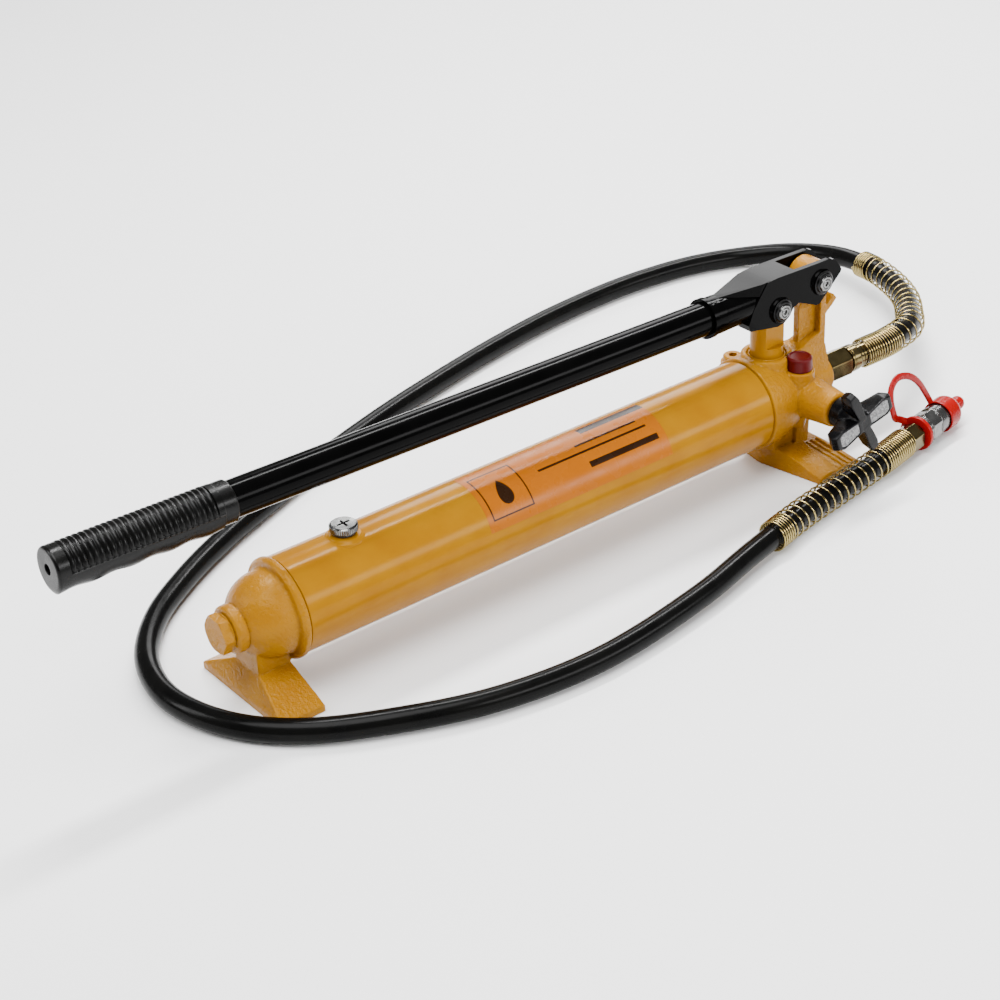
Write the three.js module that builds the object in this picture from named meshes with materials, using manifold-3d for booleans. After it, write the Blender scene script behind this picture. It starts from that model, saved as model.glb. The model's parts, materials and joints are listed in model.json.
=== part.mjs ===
// Hydraulic hand pump: a lever-operated oil pump on its own reservoir, with a high-pressure hose.
// Units are millimetres and +Z is up. The origin is on the floor, in the middle of the front foot.
// +X runs from the reservoir to the oil outlet, and the release valve knob is on the -Y side.
import * as THREE from "three";
import { ConvexGeometry } from "three/addons/geometries/ConvexGeometry.js";
import { mergeVertices } from "three/addons/utils/BufferGeometryUtils.js";
import Module from "manifold-3d";

// ---------------------------------------------------------------- driving dimensions
const GAP = 0.3; // clearance between pieces that touch on the real pump
const AXIS_Z = 49.3; // height of the reservoir and outlet axis

// reservoir
const TUBE_RADIUS = 30;
const TUBE_WALL = 3;
const TUBE_LENGTH = 361;
const HEAD_SEAM_X = -40;
const CAP_SEAM_X = HEAD_SEAM_X - TUBE_LENGTH;
const BORE_RADIUS = TUBE_RADIUS - TUBE_WALL;
const SPIGOT_LENGTH = 12;
const SPIGOT_RADIUS = BORE_RADIUS - GAP;
const RING_RADIUS = 31.6; // the cast collars at both seams
const SEAL_WIRE = 1.5; // radius of the reservoir O-ring section
const TIE_ROD_RADIUS = 6;
const FILLER_X = CAP_SEAM_X + 45.4;

// rear cap
const CAP_FLANGE = 5.5;
const CAP_DOME = 25; // how far the domed end reaches back
const CAP_DOME_RADIUS = 26;
const DOME_ANGLE = THREE.MathUtils.degToRad(62);
const NOSE_LENGTH = 8;
const NOSE_RADIUS = 14.5; // the round seat of the rear plug
const PLUG_FLATS = 21.5;
const PLUG_HEAD = 7;
const REAR_FOOT_HALF_WIDTH = 42.5;
const REAR_FOOT_FRONT = CAP_SEAM_X - 4;
const REAR_FOOT_LENGTH = 30;

// pump head
const PLUNGER_X = -18.6;
const PLUNGER_RADIUS = 11;
const PLUNGER_FLATS = 15; // distance across the two flats of the plunger eye
const BOSS_RADIUS = 17;
const BOSS_TOP = 81.5;
const CHAMBER_FLOOR = 44;
const OUTLET_FACE_X = 32;
const OUTLET_RADIUS = 14;
const RELEASE_X = -3;
const RELEASE_Z = 52;
const RELEASE_FACE_Y = -51;
const RELEASE_BORE = 6.3;
const RELEASE_SEAT_Y = -14;
const KNOB_REACH = 27;
const WING_ANGLES = [73, -28, -107, -208];
const SAFETY_X = -7;
const SAFETY_Y = -19;
const SAFETY_TOP = 72;
const SAFETY_SEAT = 60;
const PAD_X = -26; // gallery plug on the far side
const PAD_Y = 24;
const PAD_TOP = 69;
const FOOT_HALF_WIDTH = 50;
const FOOT_EDGE = 4.5;

// lever linkage
const FULCRUM = new THREE.Vector3(18.3, 0, 123.9);
const LEVER_TILT = THREE.MathUtils.degToRad(1.07); // the handle rises toward the grip at rest
const PIN_ARM_X = -36.8; // plunger pin from the fulcrum, in the handle's own frame
const PIN_ARM_Z = -9;
const PIN_RADIUS = 5.6;
const PIN_HEAD_RADIUS = 6.6;
const PIN_HEAD = 2.2; // thickness of the pin's two heads
const EYE_SLIP = 1.5; // how far the pin slides along the slot in the plunger eye, each way
const EAR_INNER = 8.6; // half the space between the bracket's two ears
const EAR_OUTER = 12;
const PIN_END = 16.8; // half the length of both pins
const LUG_RADIUS = 13;
const LUG_HALF_WIDTH = 7.6;
const HANDLE_RADIUS = 11;
const HANDLE_DROP = 1.8; // handle axis below the fulcrum
const GRIP_END = 557.6; // from the fulcrum to the end of the grip
const GRIP_LENGTH = 111;
const GRIP_RADIUS = 13;
const SOCKET_END = 94; // from the fulcrum to the socket's open end
// The bracket's side outline, drawn from the fulcrum in the handle's own frame.
const EAR_OUTLINE = [
  [6, 14.2],
  [10.6, 13],
  [13.4, 10.4],
  [18, 4.4],
  [17.6, 2.4],
  [-0.6, -15.2],
  [-3.4, -15.6],
  [-13, -11.6],
  [-20, -8.8],
  [-24.6, -10.6],
  [-28, -15.6],
  [-32.4, -19],
  [-38.4, -20.2],
  [-45, -19.2],
  [-56, -17.2],
  [-63, -16.2],
  [-64.5, -12],
  [-60.5, -2],
  [-49, 13.9],
  [-40, 14.6],
];

// hose
const HOSE_RADIUS = 7.5;
const FERRULE_INNER = HOSE_RADIUS + GAP;
const FERRULE_OUTER = 8.6;
const GUARD_INNER = 9.15;
const GUARD_OUTER = 10.5;
const OUTLET_GUARD_START = 70.6;
const OUTLET_GUARD_LENGTH = 231; // along the hose
const COUPLER_GUARD_LENGTH = 150;
// Middle line of the hose, from inside the outlet fitting, round its loop on the floor, to the coupler.
const HOSE_ROUTE = [
  [62, 0, 49.3],
  [78, 0, 49.3],
  [92, 0, 49.3],
  [110, 3.2, 48.5],
  [134, 13.5, 44.6],
  [160, 37, 37.5],
  [188, 66, 30.2],
  [209, 98, 25],
  [223, 135, 21.6],
  [226, 175, 17.5],
  [213, 212, 12],
  [184, 239, 8.4],
  [147, 254, 7.8],
  [100, 261, 7.8],
  [57, 261.5, 7.8],
  [0, 256.5, 7.8],
  [-52, 247.5, 7.8],
  [-100, 236.5, 7.8],
  [-178, 215.3, 7.8],
  [-260, 187, 7.8],
  [-310, 167, 7.8],
  [-355, 147.5, 7.8],
  [-398, 123.5, 7.8],
  [-435, 96, 7.8],
  [-461, 62, 7.8],
  [-471, 26, 7.8],
  [-467, -6, 7.8],
  [-452.5, -36, 7.8],
  [-428, -61, 7.8],
  [-384, -86, 7.8],
  [-331, -106.5, 7.8],
  [-262, -115.6, 8],
  [-175, -106.4, 9.6],
  [-120, -93.5, 11],
  [-64, -80.5, 10.9],
  [-22, -73.8, 10.9],
  [8, -69.4, 11.4],
  [29.5, -66, 12.1],
  [41.2, -63.6, 12.3],
  [53, -61.2, 12.4],
];

// coupler and dust cap on the free end of the hose
const COUPLER_FLATS = 19;
const BARREL_RADIUS = 9.9;
const DUST_CAP_RADIUS = 11.4;
const CAP_START = 41; // from the end of the hose to the cap's rim
const STRAP_THICKNESS = 2.2;
const STRAP_WIDTH = 3.6;
// Middle line of the strap's loop from its eye to the cap: along the coupler, sideways, upwards.
const STRAP_LOOP = [
  [13.4, 7.5, 6.5],
  [8, 10.6, 9.8],
  [3.4, 11, 12.4],
  [1.6, 11.6, 16.9],
  [1.8, 14.1, 25.2],
  [5, 16.2, 32.2],
  [13.2, 17.4, 36.2],
  [23.5, 16.8, 34.2],
  [31.3, 15.4, 29.8],
  [37.1, 13.5, 23.5],
  [41, 11.5, 16.5],
  [43, 9.3, 11],
  [43.6, 7.9, 8.2],
];

// ---------------------------------------------------------------- solids
const wasm = await Module();
wasm.setup();

// A closed three.js geometry as a manifold solid, with its faces turned outwards.
function solid(geometry) {
  const bare = new THREE.BufferGeometry();
  const flat = geometry.index ? geometry.toNonIndexed() : geometry;
  bare.setAttribute("position", flat.getAttribute("position"));
  const merged = mergeVertices(bare, 1e-4);
  const corners = merged.index.array;
  const kept = [];
  for (let i = 0; i < corners.length; i += 3) {
    const [a, b, c] = [corners[i], corners[i + 1], corners[i + 2]];
    if (a !== b && b !== c && c !== a) kept.push(a, b, c);
  }
  const make = (triangles) =>
    new wasm.Manifold(
      new wasm.Mesh({
        numProp: 3,
        vertProperties: merged.attributes.position.array,
        triVerts: new Uint32Array(triangles),
      }),
    );
  const made = make(kept);
  return made.volume() < 0 ? make(kept.reverse()) : made;
}

function add(first, ...others) {
  return others.reduce((sum, other) => sum.add(other), first);
}

function cut(first, ...others) {
  return others.reduce((rest, other) => rest.subtract(other), first);
}

function box(low, high) {
  const size = high.map((value, i) => value - low[i]);
  const geometry = new THREE.BoxGeometry(...size);
  geometry.translate(...high.map((value, i) => (value + low[i]) / 2));
  return solid(geometry);
}

function convex(points) {
  return solid(new ConvexGeometry(points.map((p) => new THREE.Vector3(...p))));
}

// Turns a shape built along +Y so that it runs from one point to another.
function aim(geometry, from, to) {
  const start = new THREE.Vector3(...from);
  const direction = new THREE.Vector3(...to).sub(start).normalize();
  const turn = new THREE.Quaternion();
  turn.setFromUnitVectors(new THREE.Vector3(0, 1, 0), direction);
  geometry.applyQuaternion(turn);
  geometry.translate(...from);
  return geometry;
}

function rod(from, to, radius, sides = 24, endRadius = radius) {
  const length = new THREE.Vector3(...from).distanceTo(new THREE.Vector3(...to));
  const geometry = new THREE.CylinderGeometry(endRadius, radius, length, sides);
  geometry.translate(0, length / 2, 0);
  return solid(aim(geometry, from, to));
}

// A solid of revolution. Each profile corner is [distance along the axis, radius].
function turned(profile, from, to, sides = 24) {
  const corners = profile.map(([along, radius]) => new THREE.Vector2(radius, along));
  return solid(aim(new THREE.LatheGeometry(corners, sides), from, to));
}

// A turned ring, whose profile closes on itself.
function ring(from, to, inner, outer, sides = 24) {
  const length = new THREE.Vector3(...from).distanceTo(new THREE.Vector3(...to));
  const profile = [
    [0, inner],
    [0, outer],
    [length, outer],
    [length, inner],
    [0, inner],
  ];
  return turned(profile, from, to, sides);
}

// An O-ring round an axis, its section a small circle.
function oRing(from, to, middle, section, sides = 32, sectionSides = 8) {
  const profile = [];
  for (let i = 0; i <= sectionSides; i += 1) {
    const angle = (i % sectionSides) * ((2 * Math.PI) / sectionSides);
    profile.push([section * Math.sin(angle), middle + section * Math.cos(angle)]);
  }
  return turned(profile, from, to, sides);
}

// A hexagon bar. With a turn of 30 degrees its flats lie where its corners were.
function hexRod(from, to, flats, turnDegrees = 0) {
  const length = new THREE.Vector3(...from).distanceTo(new THREE.Vector3(...to));
  const geometry = new THREE.CylinderGeometry(flats / Math.sqrt(3), flats / Math.sqrt(3), length, 6);
  geometry.translate(0, length / 2, 0);
  geometry.rotateY(THREE.MathUtils.degToRad(turnDegrees));
  return solid(aim(geometry, from, to));
}

// A flat outline of [x, z] corners, as thick as the two y values are apart.
function plateXZ(outline, lowY, highY, holes = []) {
  const shape = new THREE.Shape(outline.map(([x, z]) => new THREE.Vector2(x, z)));
  for (const hole of holes) {
    shape.holes.push(new THREE.Path(hole.map(([x, z]) => new THREE.Vector2(x, z))));
  }
  const geometry = new THREE.ExtrudeGeometry(shape, {
    depth: highY - lowY,
    bevelEnabled: false,
  });
  geometry.rotateX(Math.PI / 2);
  geometry.translate(0, highY, 0);
  return solid(geometry);
}

// A section carried along a curve of points, closed at both ends.
function swept(points, shape, steps) {
  const path = new THREE.CatmullRomCurve3(
    points.map((p) => new THREE.Vector3(...p)),
    false,
    "centripetal",
  );
  const geometry = new THREE.ExtrudeGeometry(shape, {
    extrudePath: path,
    steps,
    curveSegments: 5,
    bevelEnabled: false,
  });
  return solid(geometry);
}

function circle(radius, sides) {
  const corners = [];
  for (let i = 0; i < sides; i += 1) {
    const angle = (i * 2 * Math.PI) / sides;
    corners.push(new THREE.Vector2(radius * Math.cos(angle), radius * Math.sin(angle)));
  }
  return corners;
}

function disc(radius, sides) {
  return new THREE.Shape(circle(radius, sides));
}

function washerShape(inner, outer, sides) {
  const shape = disc(outer, sides);
  shape.holes.push(new THREE.Path(circle(inner, sides).reverse()));
  return shape;
}

// The stretch of the hose's middle line between two lengths measured from the outlet end.
const hoseLine = new THREE.CatmullRomCurve3(
  HOSE_ROUTE.map((p) => new THREE.Vector3(...p)),
  false,
  "centripetal",
);
hoseLine.arcLengthDivisions = 2000;
const HOSE_LENGTH = hoseLine.getLength();

function hosePoint(length) {
  return hoseLine.getPointAt(Math.min(length / HOSE_LENGTH, 1)).toArray();
}

function hoseStretch(from, to, spacing) {
  const count = Math.max(3, Math.round((to - from) / spacing));
  const points = [];
  for (let i = 0; i <= count; i += 1) {
    points.push(hosePoint(from + ((to - from) * i) / count));
  }
  return points;
}

// ---------------------------------------------------------------- materials and the assembly
function paint(colour, roughness, metalness) {
  return new THREE.MeshStandardMaterial({ color: colour, roughness, metalness });
}

const YELLOW = 0xe0a826;
const BLACK = 0x141414;
const STEEL = 0xb9bbbd;
const DARK_STEEL = 0x6f7174;
const ZINC = 0xb09a5a;
const RED = 0xd01212;
const DARK_RED = 0x8a0f14;
const COPPER = 0xb06a45;

const pump = new THREE.Group();

function piece(group, name, shape, material) {
  const mesh = shape.getMesh();
  const geometry = new THREE.BufferGeometry();
  geometry.setAttribute("position", new THREE.BufferAttribute(mesh.vertProperties, 3));
  geometry.setIndex(new THREE.BufferAttribute(mesh.triVerts, 1));
  const made = new THREE.Mesh(geometry, material);
  made.name = name;
  group.add(made);
  return made;
}

// ---------------------------------------------------------------- reservoir
function reservoirTube() {
  const shell = ring([CAP_SEAM_X, 0, AXIS_Z], [HEAD_SEAM_X, 0, AXIS_Z], BORE_RADIUS, TUBE_RADIUS, 40);
  const topZ = AXIS_Z + TUBE_RADIUS;
  const fillerBoss = rod([FILLER_X, 0, topZ - 2], [FILLER_X, 0, topZ + 0.9], 10, 20);
  const fillerHole = rod([FILLER_X, 0, topZ - 6], [FILLER_X, 0, topZ + 2], 4, 12);
  const insideTube = rod([CAP_SEAM_X, 0, AXIS_Z], [HEAD_SEAM_X, 0, AXIS_Z], BORE_RADIUS + 0.5, 40);
  return cut(add(shell, cut(fillerBoss, insideTube)), fillerHole);
}

function fillerScrew() {
  const seat = AXIS_Z + TUBE_RADIUS + 0.9 + 1.6 + GAP;
  const profile = [
    [-9, 0],
    [-9, 3.2],
    [0, 3.2],
    [0, 7.8],
    [0.7, 8.5],
    [3.8, 8.5],
    [4.6, 7.6],
    [4.6, 0],
  ];
  const body = turned(profile, [FILLER_X, 0, seat], [FILLER_X, 0, seat + 1], 24);
  const slot = (x, y) =>
    box([FILLER_X - x, -y, seat + 3], [FILLER_X + x, y, seat + 6]);
  return cut(body, slot(4, 0.7), slot(0.7, 4));
}

function fillerSeal() {
  const middle = AXIS_Z + TUBE_RADIUS + 0.9 + GAP + 0.8;
  return oRing([FILLER_X, 0, middle], [FILLER_X, 0, middle + 1], 6.4, 0.8, 24, 6);
}

// The spigot that plugs one end of the reservoir tube, with a groove for its O-ring.
function spigot(seamX, direction) {
  const inner = seamX + direction * SPIGOT_LENGTH;
  const plug = rod([seamX - direction * 0.5, 0, AXIS_Z], [inner, 0, AXIS_Z], SPIGOT_RADIUS, 36);
  const low = seamX + direction * (SPIGOT_LENGTH / 2 - 1.9);
  const high = seamX + direction * (SPIGOT_LENGTH / 2 + 1.9);
  const groove = ring([low, 0, AXIS_Z], [high, 0, AXIS_Z], SPIGOT_RADIUS - 3.2, SPIGOT_RADIUS + 1, 36);
  return cut(plug, groove);
}

function spigotSeal(seamX, direction) {
  const middle = seamX + (direction * SPIGOT_LENGTH) / 2;
  const radius = SPIGOT_RADIUS - SEAL_WIRE;
  return oRing([middle, 0, AXIS_Z], [middle + 1, 0, AXIS_Z], radius, SEAL_WIRE, 28, 6);
}

function rearCap() {
  const front = CAP_SEAM_X - GAP;
  const backOfFlange = front - CAP_FLANGE;
  const profile = [
    [0, 0],
    [0, RING_RADIUS - 1],
    [1, RING_RADIUS - 0.2],
    [CAP_FLANGE - 1.6, RING_RADIUS - 0.4],
    [CAP_FLANGE, RING_RADIUS - 2],
    [CAP_FLANGE, CAP_DOME_RADIUS + 0.2],
  ];
  const domeSteps = 6;
  for (let i = 0; i <= domeSteps; i += 1) {
    const angle = (i / domeSteps) * DOME_ANGLE;
    const along = CAP_FLANGE + 4 + (CAP_DOME - 3) * (Math.sin(angle) / Math.sin(DOME_ANGLE));
    profile.push([along, CAP_DOME_RADIUS * Math.cos(angle) + 2 * (1 - Math.cos(angle))]);
  }
  const noseStart = CAP_FLANGE + CAP_DOME;
  const noseEnd = noseStart + NOSE_LENGTH;
  profile.push([noseStart + 1, NOSE_RADIUS + 0.4]);
  profile.push([noseEnd - 1.2, NOSE_RADIUS]);
  profile.push([noseEnd, NOSE_RADIUS - 1.4]);
  profile.push([noseEnd, 0]);
  const dome = turned(profile, [front, 0, AXIS_Z], [front - 1, 0, AXIS_Z], 36);

  const footMiddle = REAR_FOOT_FRONT - REAR_FOOT_LENGTH / 2;
  const footBack = REAR_FOOT_FRONT - REAR_FOOT_LENGTH;
  const footCorners = [];
  for (const y of [-REAR_FOOT_HALF_WIDTH, REAR_FOOT_HALF_WIDTH]) {
    for (const x of [footBack, REAR_FOOT_FRONT]) {
      footCorners.push([x, y, 0], [x, y, FOOT_EDGE]);
    }
  }
  const neckCorners = [];
  for (const y of [-12.5, 12.5]) {
    for (const x of [footMiddle - 9, footMiddle + 13]) {
      neckCorners.push([x, y, 20]);
    }
  }
  const foot = convex([...footCorners, ...neckCorners]);
  const neck = box([footMiddle - 9, -12.5, 19], [footMiddle + 13, 12.5, 40]);
  const rodHole = rod([CAP_SEAM_X + 20, 0, AXIS_Z], [front - noseEnd - 5, 0, AXIS_Z], 8.5, 20);
  // The floor side is relieved so that the foot stands on a rim.
  const relief = box(
    [footBack + 5, -REAR_FOOT_HALF_WIDTH + 6, -1],
    [REAR_FOOT_FRONT - 5, REAR_FOOT_HALF_WIDTH - 6, 1.5],
  );
  return cut(add(dome, foot, neck, spigot(CAP_SEAM_X, 1)), rodHole, relief);
}

const REAR_FACE_X = CAP_SEAM_X - GAP - CAP_FLANGE - CAP_DOME - NOSE_LENGTH;

function rearPlug() {
  const start = REAR_FACE_X - GAP;
  const washer = rod([start, 0, AXIS_Z], [start - 1, 0, AXIS_Z], 11.6, 28);
  const head = hexRod([start - 0.5, 0, AXIS_Z], [start - PLUG_HEAD, 0, AXIS_Z], PLUG_FLATS, 30);
  const shank = rod([start - 0.5, 0, AXIS_Z], [start + 22, 0, AXIS_Z], 8.2, 20);
  const rodHole = rod([start - 3, 0, AXIS_Z], [start + 23, 0, AXIS_Z], TIE_ROD_RADIUS + GAP, 16);
  return cut(add(head, washer, shank), rodHole);
}

function tieRod() {
  return rod([REAR_FACE_X, 0, AXIS_Z], [HEAD_SEAM_X - 1, 0, AXIS_Z], TIE_ROD_RADIUS, 16);
}

// ---------------------------------------------------------------- pump head
function headBody() {
  const collar = turned(
    [
      [0, 0],
      [0, RING_RADIUS - 0.8],
      [0.8, RING_RADIUS],
      [9, RING_RADIUS - 0.2],
      [17, 30.4],
      [25, 28.4],
      [33, 25.4],
      [42, 21.8],
      [51, 19.5],
      [53, 0],
    ],
    [HEAD_SEAM_X + GAP, 0, AXIS_Z],
    [0, 0, AXIS_Z],
    36,
  );
  const plungerBoss = turned(
    [
      [0, 0],
      [0, BOSS_RADIUS + 3],
      [16, BOSS_RADIUS + 1.2],
      [31.2, BOSS_RADIUS],
      [32.2, BOSS_RADIUS - 1],
      [32.2, 0],
    ],
    [PLUNGER_X, 0, BOSS_TOP - 32.2],
    [PLUNGER_X, 0, BOSS_TOP],
    28,
  );
  const outletBoss = turned(
    [
      [0, 0],
      [0, OUTLET_RADIUS + 4],
      [20, OUTLET_RADIUS + 0.6],
      [OUTLET_FACE_X - 1, OUTLET_RADIUS],
      [OUTLET_FACE_X, OUTLET_RADIUS - 1],
      [OUTLET_FACE_X, 0],
    ],
    [0, 0, AXIS_Z],
    [1, 0, AXIS_Z],
    28,
  );
  const releaseBoss = turned(
    [
      [0, 0],
      [0, 17.5],
      [12, 14.9],
      [-RELEASE_FACE_Y - 9.2, 11.8],
      [-RELEASE_FACE_Y - 8, 10.8],
      [-RELEASE_FACE_Y - 8, 0],
    ],
    [RELEASE_X, -8, RELEASE_Z],
    [RELEASE_X, -9, RELEASE_Z],
    28,
  );
  // The safety valve boss tapers down like a funnel into the leg below the release valve.
  const safetyBoss = turned(
    [
      [0, 0],
      [0, 4.5],
      [26, 9.6],
      [SAFETY_TOP - 30.8, 10.2],
      [SAFETY_TOP - 30, 9.4],
      [SAFETY_TOP - 30, 0],
    ],
    [SAFETY_X, SAFETY_Y, 30],
    [SAFETY_X, SAFETY_Y, SAFETY_TOP],
    24,
  );
  const shoulder = convex([
    ...[-12.5, 12.5].map((y) => [-12, y, 52]),
    ...[-12.5, 12.5].map((y) => [30, y, 52]),
    ...[-8.5, 8.5].map((y) => [-8, y, 76]),
    ...[-7.4, 7.4].map((y) => [29, y, 74]),
    ...[-8, 8].map((y) => [6, y, 79]),
  ]);
  const farPad = rod([PAD_X, PAD_Y, 50], [PAD_X, PAD_Y, PAD_TOP], 8.2, 16);
  return add(collar, plungerBoss, outletBoss, releaseBoss, safetyBoss, shoulder, farPad);
}

// The T-shaped post, with the round lug that carries the fulcrum pin.
function headPost() {
  const web = box([7.8, -2.4, 74], [24.5, 2.4, FULCRUM.z]);
  const flange = box([23, -7.2, 66], [28.4, 7.2, 107]);
  const flangeTop = convex([
    ...[-7.2, 7.2].map((y) => [23, y, 106]),
    ...[-7.2, 7.2].map((y) => [28.4, y, 106]),
    ...[-7.2, 7.2].map((y) => [FULCRUM.x + 4, y, FULCRUM.z - 6]),
    ...[-7.2, 7.2].map((y) => [FULCRUM.x + 10, y, FULCRUM.z - 6]),
  ]);
  const webFoot = convex([
    ...[-7.2, 7.2].map((y) => [2, y, 74]),
    ...[-7.2, 7.2].map((y) => [28.4, y, 70]),
    ...[-7.2, 7.2].map((y) => [26, y, 85]),
    ...[-2.4, 2.4].map((y) => [8, y, 80.5]),
    ...[-7.2, 7.2].map((y) => [2.5, y, 77]),
  ]);
  const nose = convex([
    ...[-7.2, 7.2].map((y) => [27, y, 95]),
    ...[-7.2, 7.2].map((y) => [34, y, 100.5]),
    ...[-7.2, 7.2].map((y) => [38.4, y, 104.6]),
    ...[-7.2, 7.2].map((y) => [35.4, y, 108.2]),
    ...[-7.2, 7.2].map((y) => [27, y, 101]),
  ]);
  const lug = rod(
    [FULCRUM.x, -LUG_HALF_WIDTH, FULCRUM.z],
    [FULCRUM.x, LUG_HALF_WIDTH, FULCRUM.z],
    LUG_RADIUS,
    28,
  );
  const lugNeck = convex([
    ...[-2.4, 2.4].map((y) => [7.8, y, 104]),
    ...[-2.4, 2.4].map((y) => [24.5, y, 104]),
    ...[-LUG_HALF_WIDTH, LUG_HALF_WIDTH].map((y) => [FULCRUM.x - 9.5, y, FULCRUM.z - 8]),
    ...[-LUG_HALF_WIDTH, LUG_HALF_WIDTH].map((y) => [FULCRUM.x + 9.5, y, FULCRUM.z - 8]),
    ...[-LUG_HALF_WIDTH, LUG_HALF_WIDTH].map((y) => [FULCRUM.x - 11, y, FULCRUM.z - 5]),
    ...[-LUG_HALF_WIDTH, LUG_HALF_WIDTH].map((y) => [FULCRUM.x + 11, y, FULCRUM.z - 5]),
  ]);
  const pinHole = rod([FULCRUM.x, -10, FULCRUM.z], [FULCRUM.x, 10, FULCRUM.z], PIN_RADIUS + GAP, 20);
  return cut(add(web, flange, flangeTop, webFoot, nose, lug, lugNeck), pinHole);
}

function headFoot() {
  const leg = (side) =>
    convex([
      [-6, side * 4, 12],
      [8, side * 4, 12],
      [-5, side * 15.5, 12],
      [7, side * 15.5, 12],
      [-5, side * 17, 44],
      [7, side * 17, 44],
      [-6, side * 4, 46],
      [8, side * 4, 46],
    ]);
  const core = convex([
    ...[-11.5, 11.5].map((y) => [-21, y, 10]),
    ...[-11.5, 11.5].map((y) => [6, y, 10]),
    ...[-17, 17].map((y) => [-28, y, 34]),
    ...[-12, 12].map((y) => [6, y, 34]),
  ]);
  const backHalf = convex([
    ...[-3, 3].map((y) => [-23.5, y, 0]),
    ...[-3, 3].map((y) => [-23.5, y, FOOT_EDGE]),
    ...[-FOOT_HALF_WIDTH + 1, FOOT_HALF_WIDTH - 1].map((y) => [-15.5, y, 0]),
    ...[-FOOT_HALF_WIDTH + 1, FOOT_HALF_WIDTH - 1].map((y) => [-15.5, y, FOOT_EDGE]),
    ...[-FOOT_HALF_WIDTH, FOOT_HALF_WIDTH].map((y) => [-14, y, 0]),
    ...[-FOOT_HALF_WIDTH, FOOT_HALF_WIDTH].map((y) => [-14, y, FOOT_EDGE]),
    ...[-FOOT_HALF_WIDTH, FOOT_HALF_WIDTH].map((y) => [2, y, 0]),
    ...[-FOOT_HALF_WIDTH, FOOT_HALF_WIDTH].map((y) => [-4, y, FOOT_EDGE + 2]),
    ...[-FOOT_HALF_WIDTH, FOOT_HALF_WIDTH].map((y) => [2, y, FOOT_EDGE]),
    ...[-15.5, 15.5].map((y) => [-20, y, 15]),
    ...[-15.5, 15.5].map((y) => [2, y, 13.5]),
  ]);
  const frontHalf = convex([
    ...[-10, 10].map((y) => [25, y, 0]),
    ...[-10, 10].map((y) => [25, y, FOOT_EDGE]),
    ...[-FOOT_HALF_WIDTH, FOOT_HALF_WIDTH].map((y) => [21.5, y, 0]),
    ...[-FOOT_HALF_WIDTH, FOOT_HALF_WIDTH].map((y) => [21.5, y, FOOT_EDGE]),
    ...[-FOOT_HALF_WIDTH, FOOT_HALF_WIDTH].map((y) => [-4, y, 0]),
    ...[-FOOT_HALF_WIDTH, FOOT_HALF_WIDTH].map((y) => [-4, y, FOOT_EDGE]),
    ...[-15, 15].map((y) => [-4, y, 8.5]),
    ...[-15, 15].map((y) => [22, y, 7]),
  ]);
  let foot = add(core, backHalf, frontHalf, leg(1), leg(-1));
  for (const x of [4.5, 9, 13.5, 18]) {
    for (const side of [1, -1]) {
      foot = foot.add(
        convex([
          ...[-1.1, 1.1].map((dx) => [x + dx, side * 12, 4]),
          ...[-1.1, 1.1].map((dx) => [x + dx, side * 12, 9.4]),
          ...[-1.1, 1.1].map((dx) => [x + dx, side * (FOOT_HALF_WIDTH - 2), 4]),
          ...[-1.1, 1.1].map((dx) => [x + dx, side * (FOOT_HALF_WIDTH - 2), FOOT_EDGE + 1.4]),
        ]),
      );
    }
  }
  const relief = box([-11, -FOOT_HALF_WIDTH + 7, -1], [17, -8, 1.5]);
  const otherRelief = box([-11, 8, -1], [17, FOOT_HALF_WIDTH - 7, 1.5]);
  return cut(foot, relief, otherRelief);
}

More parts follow.
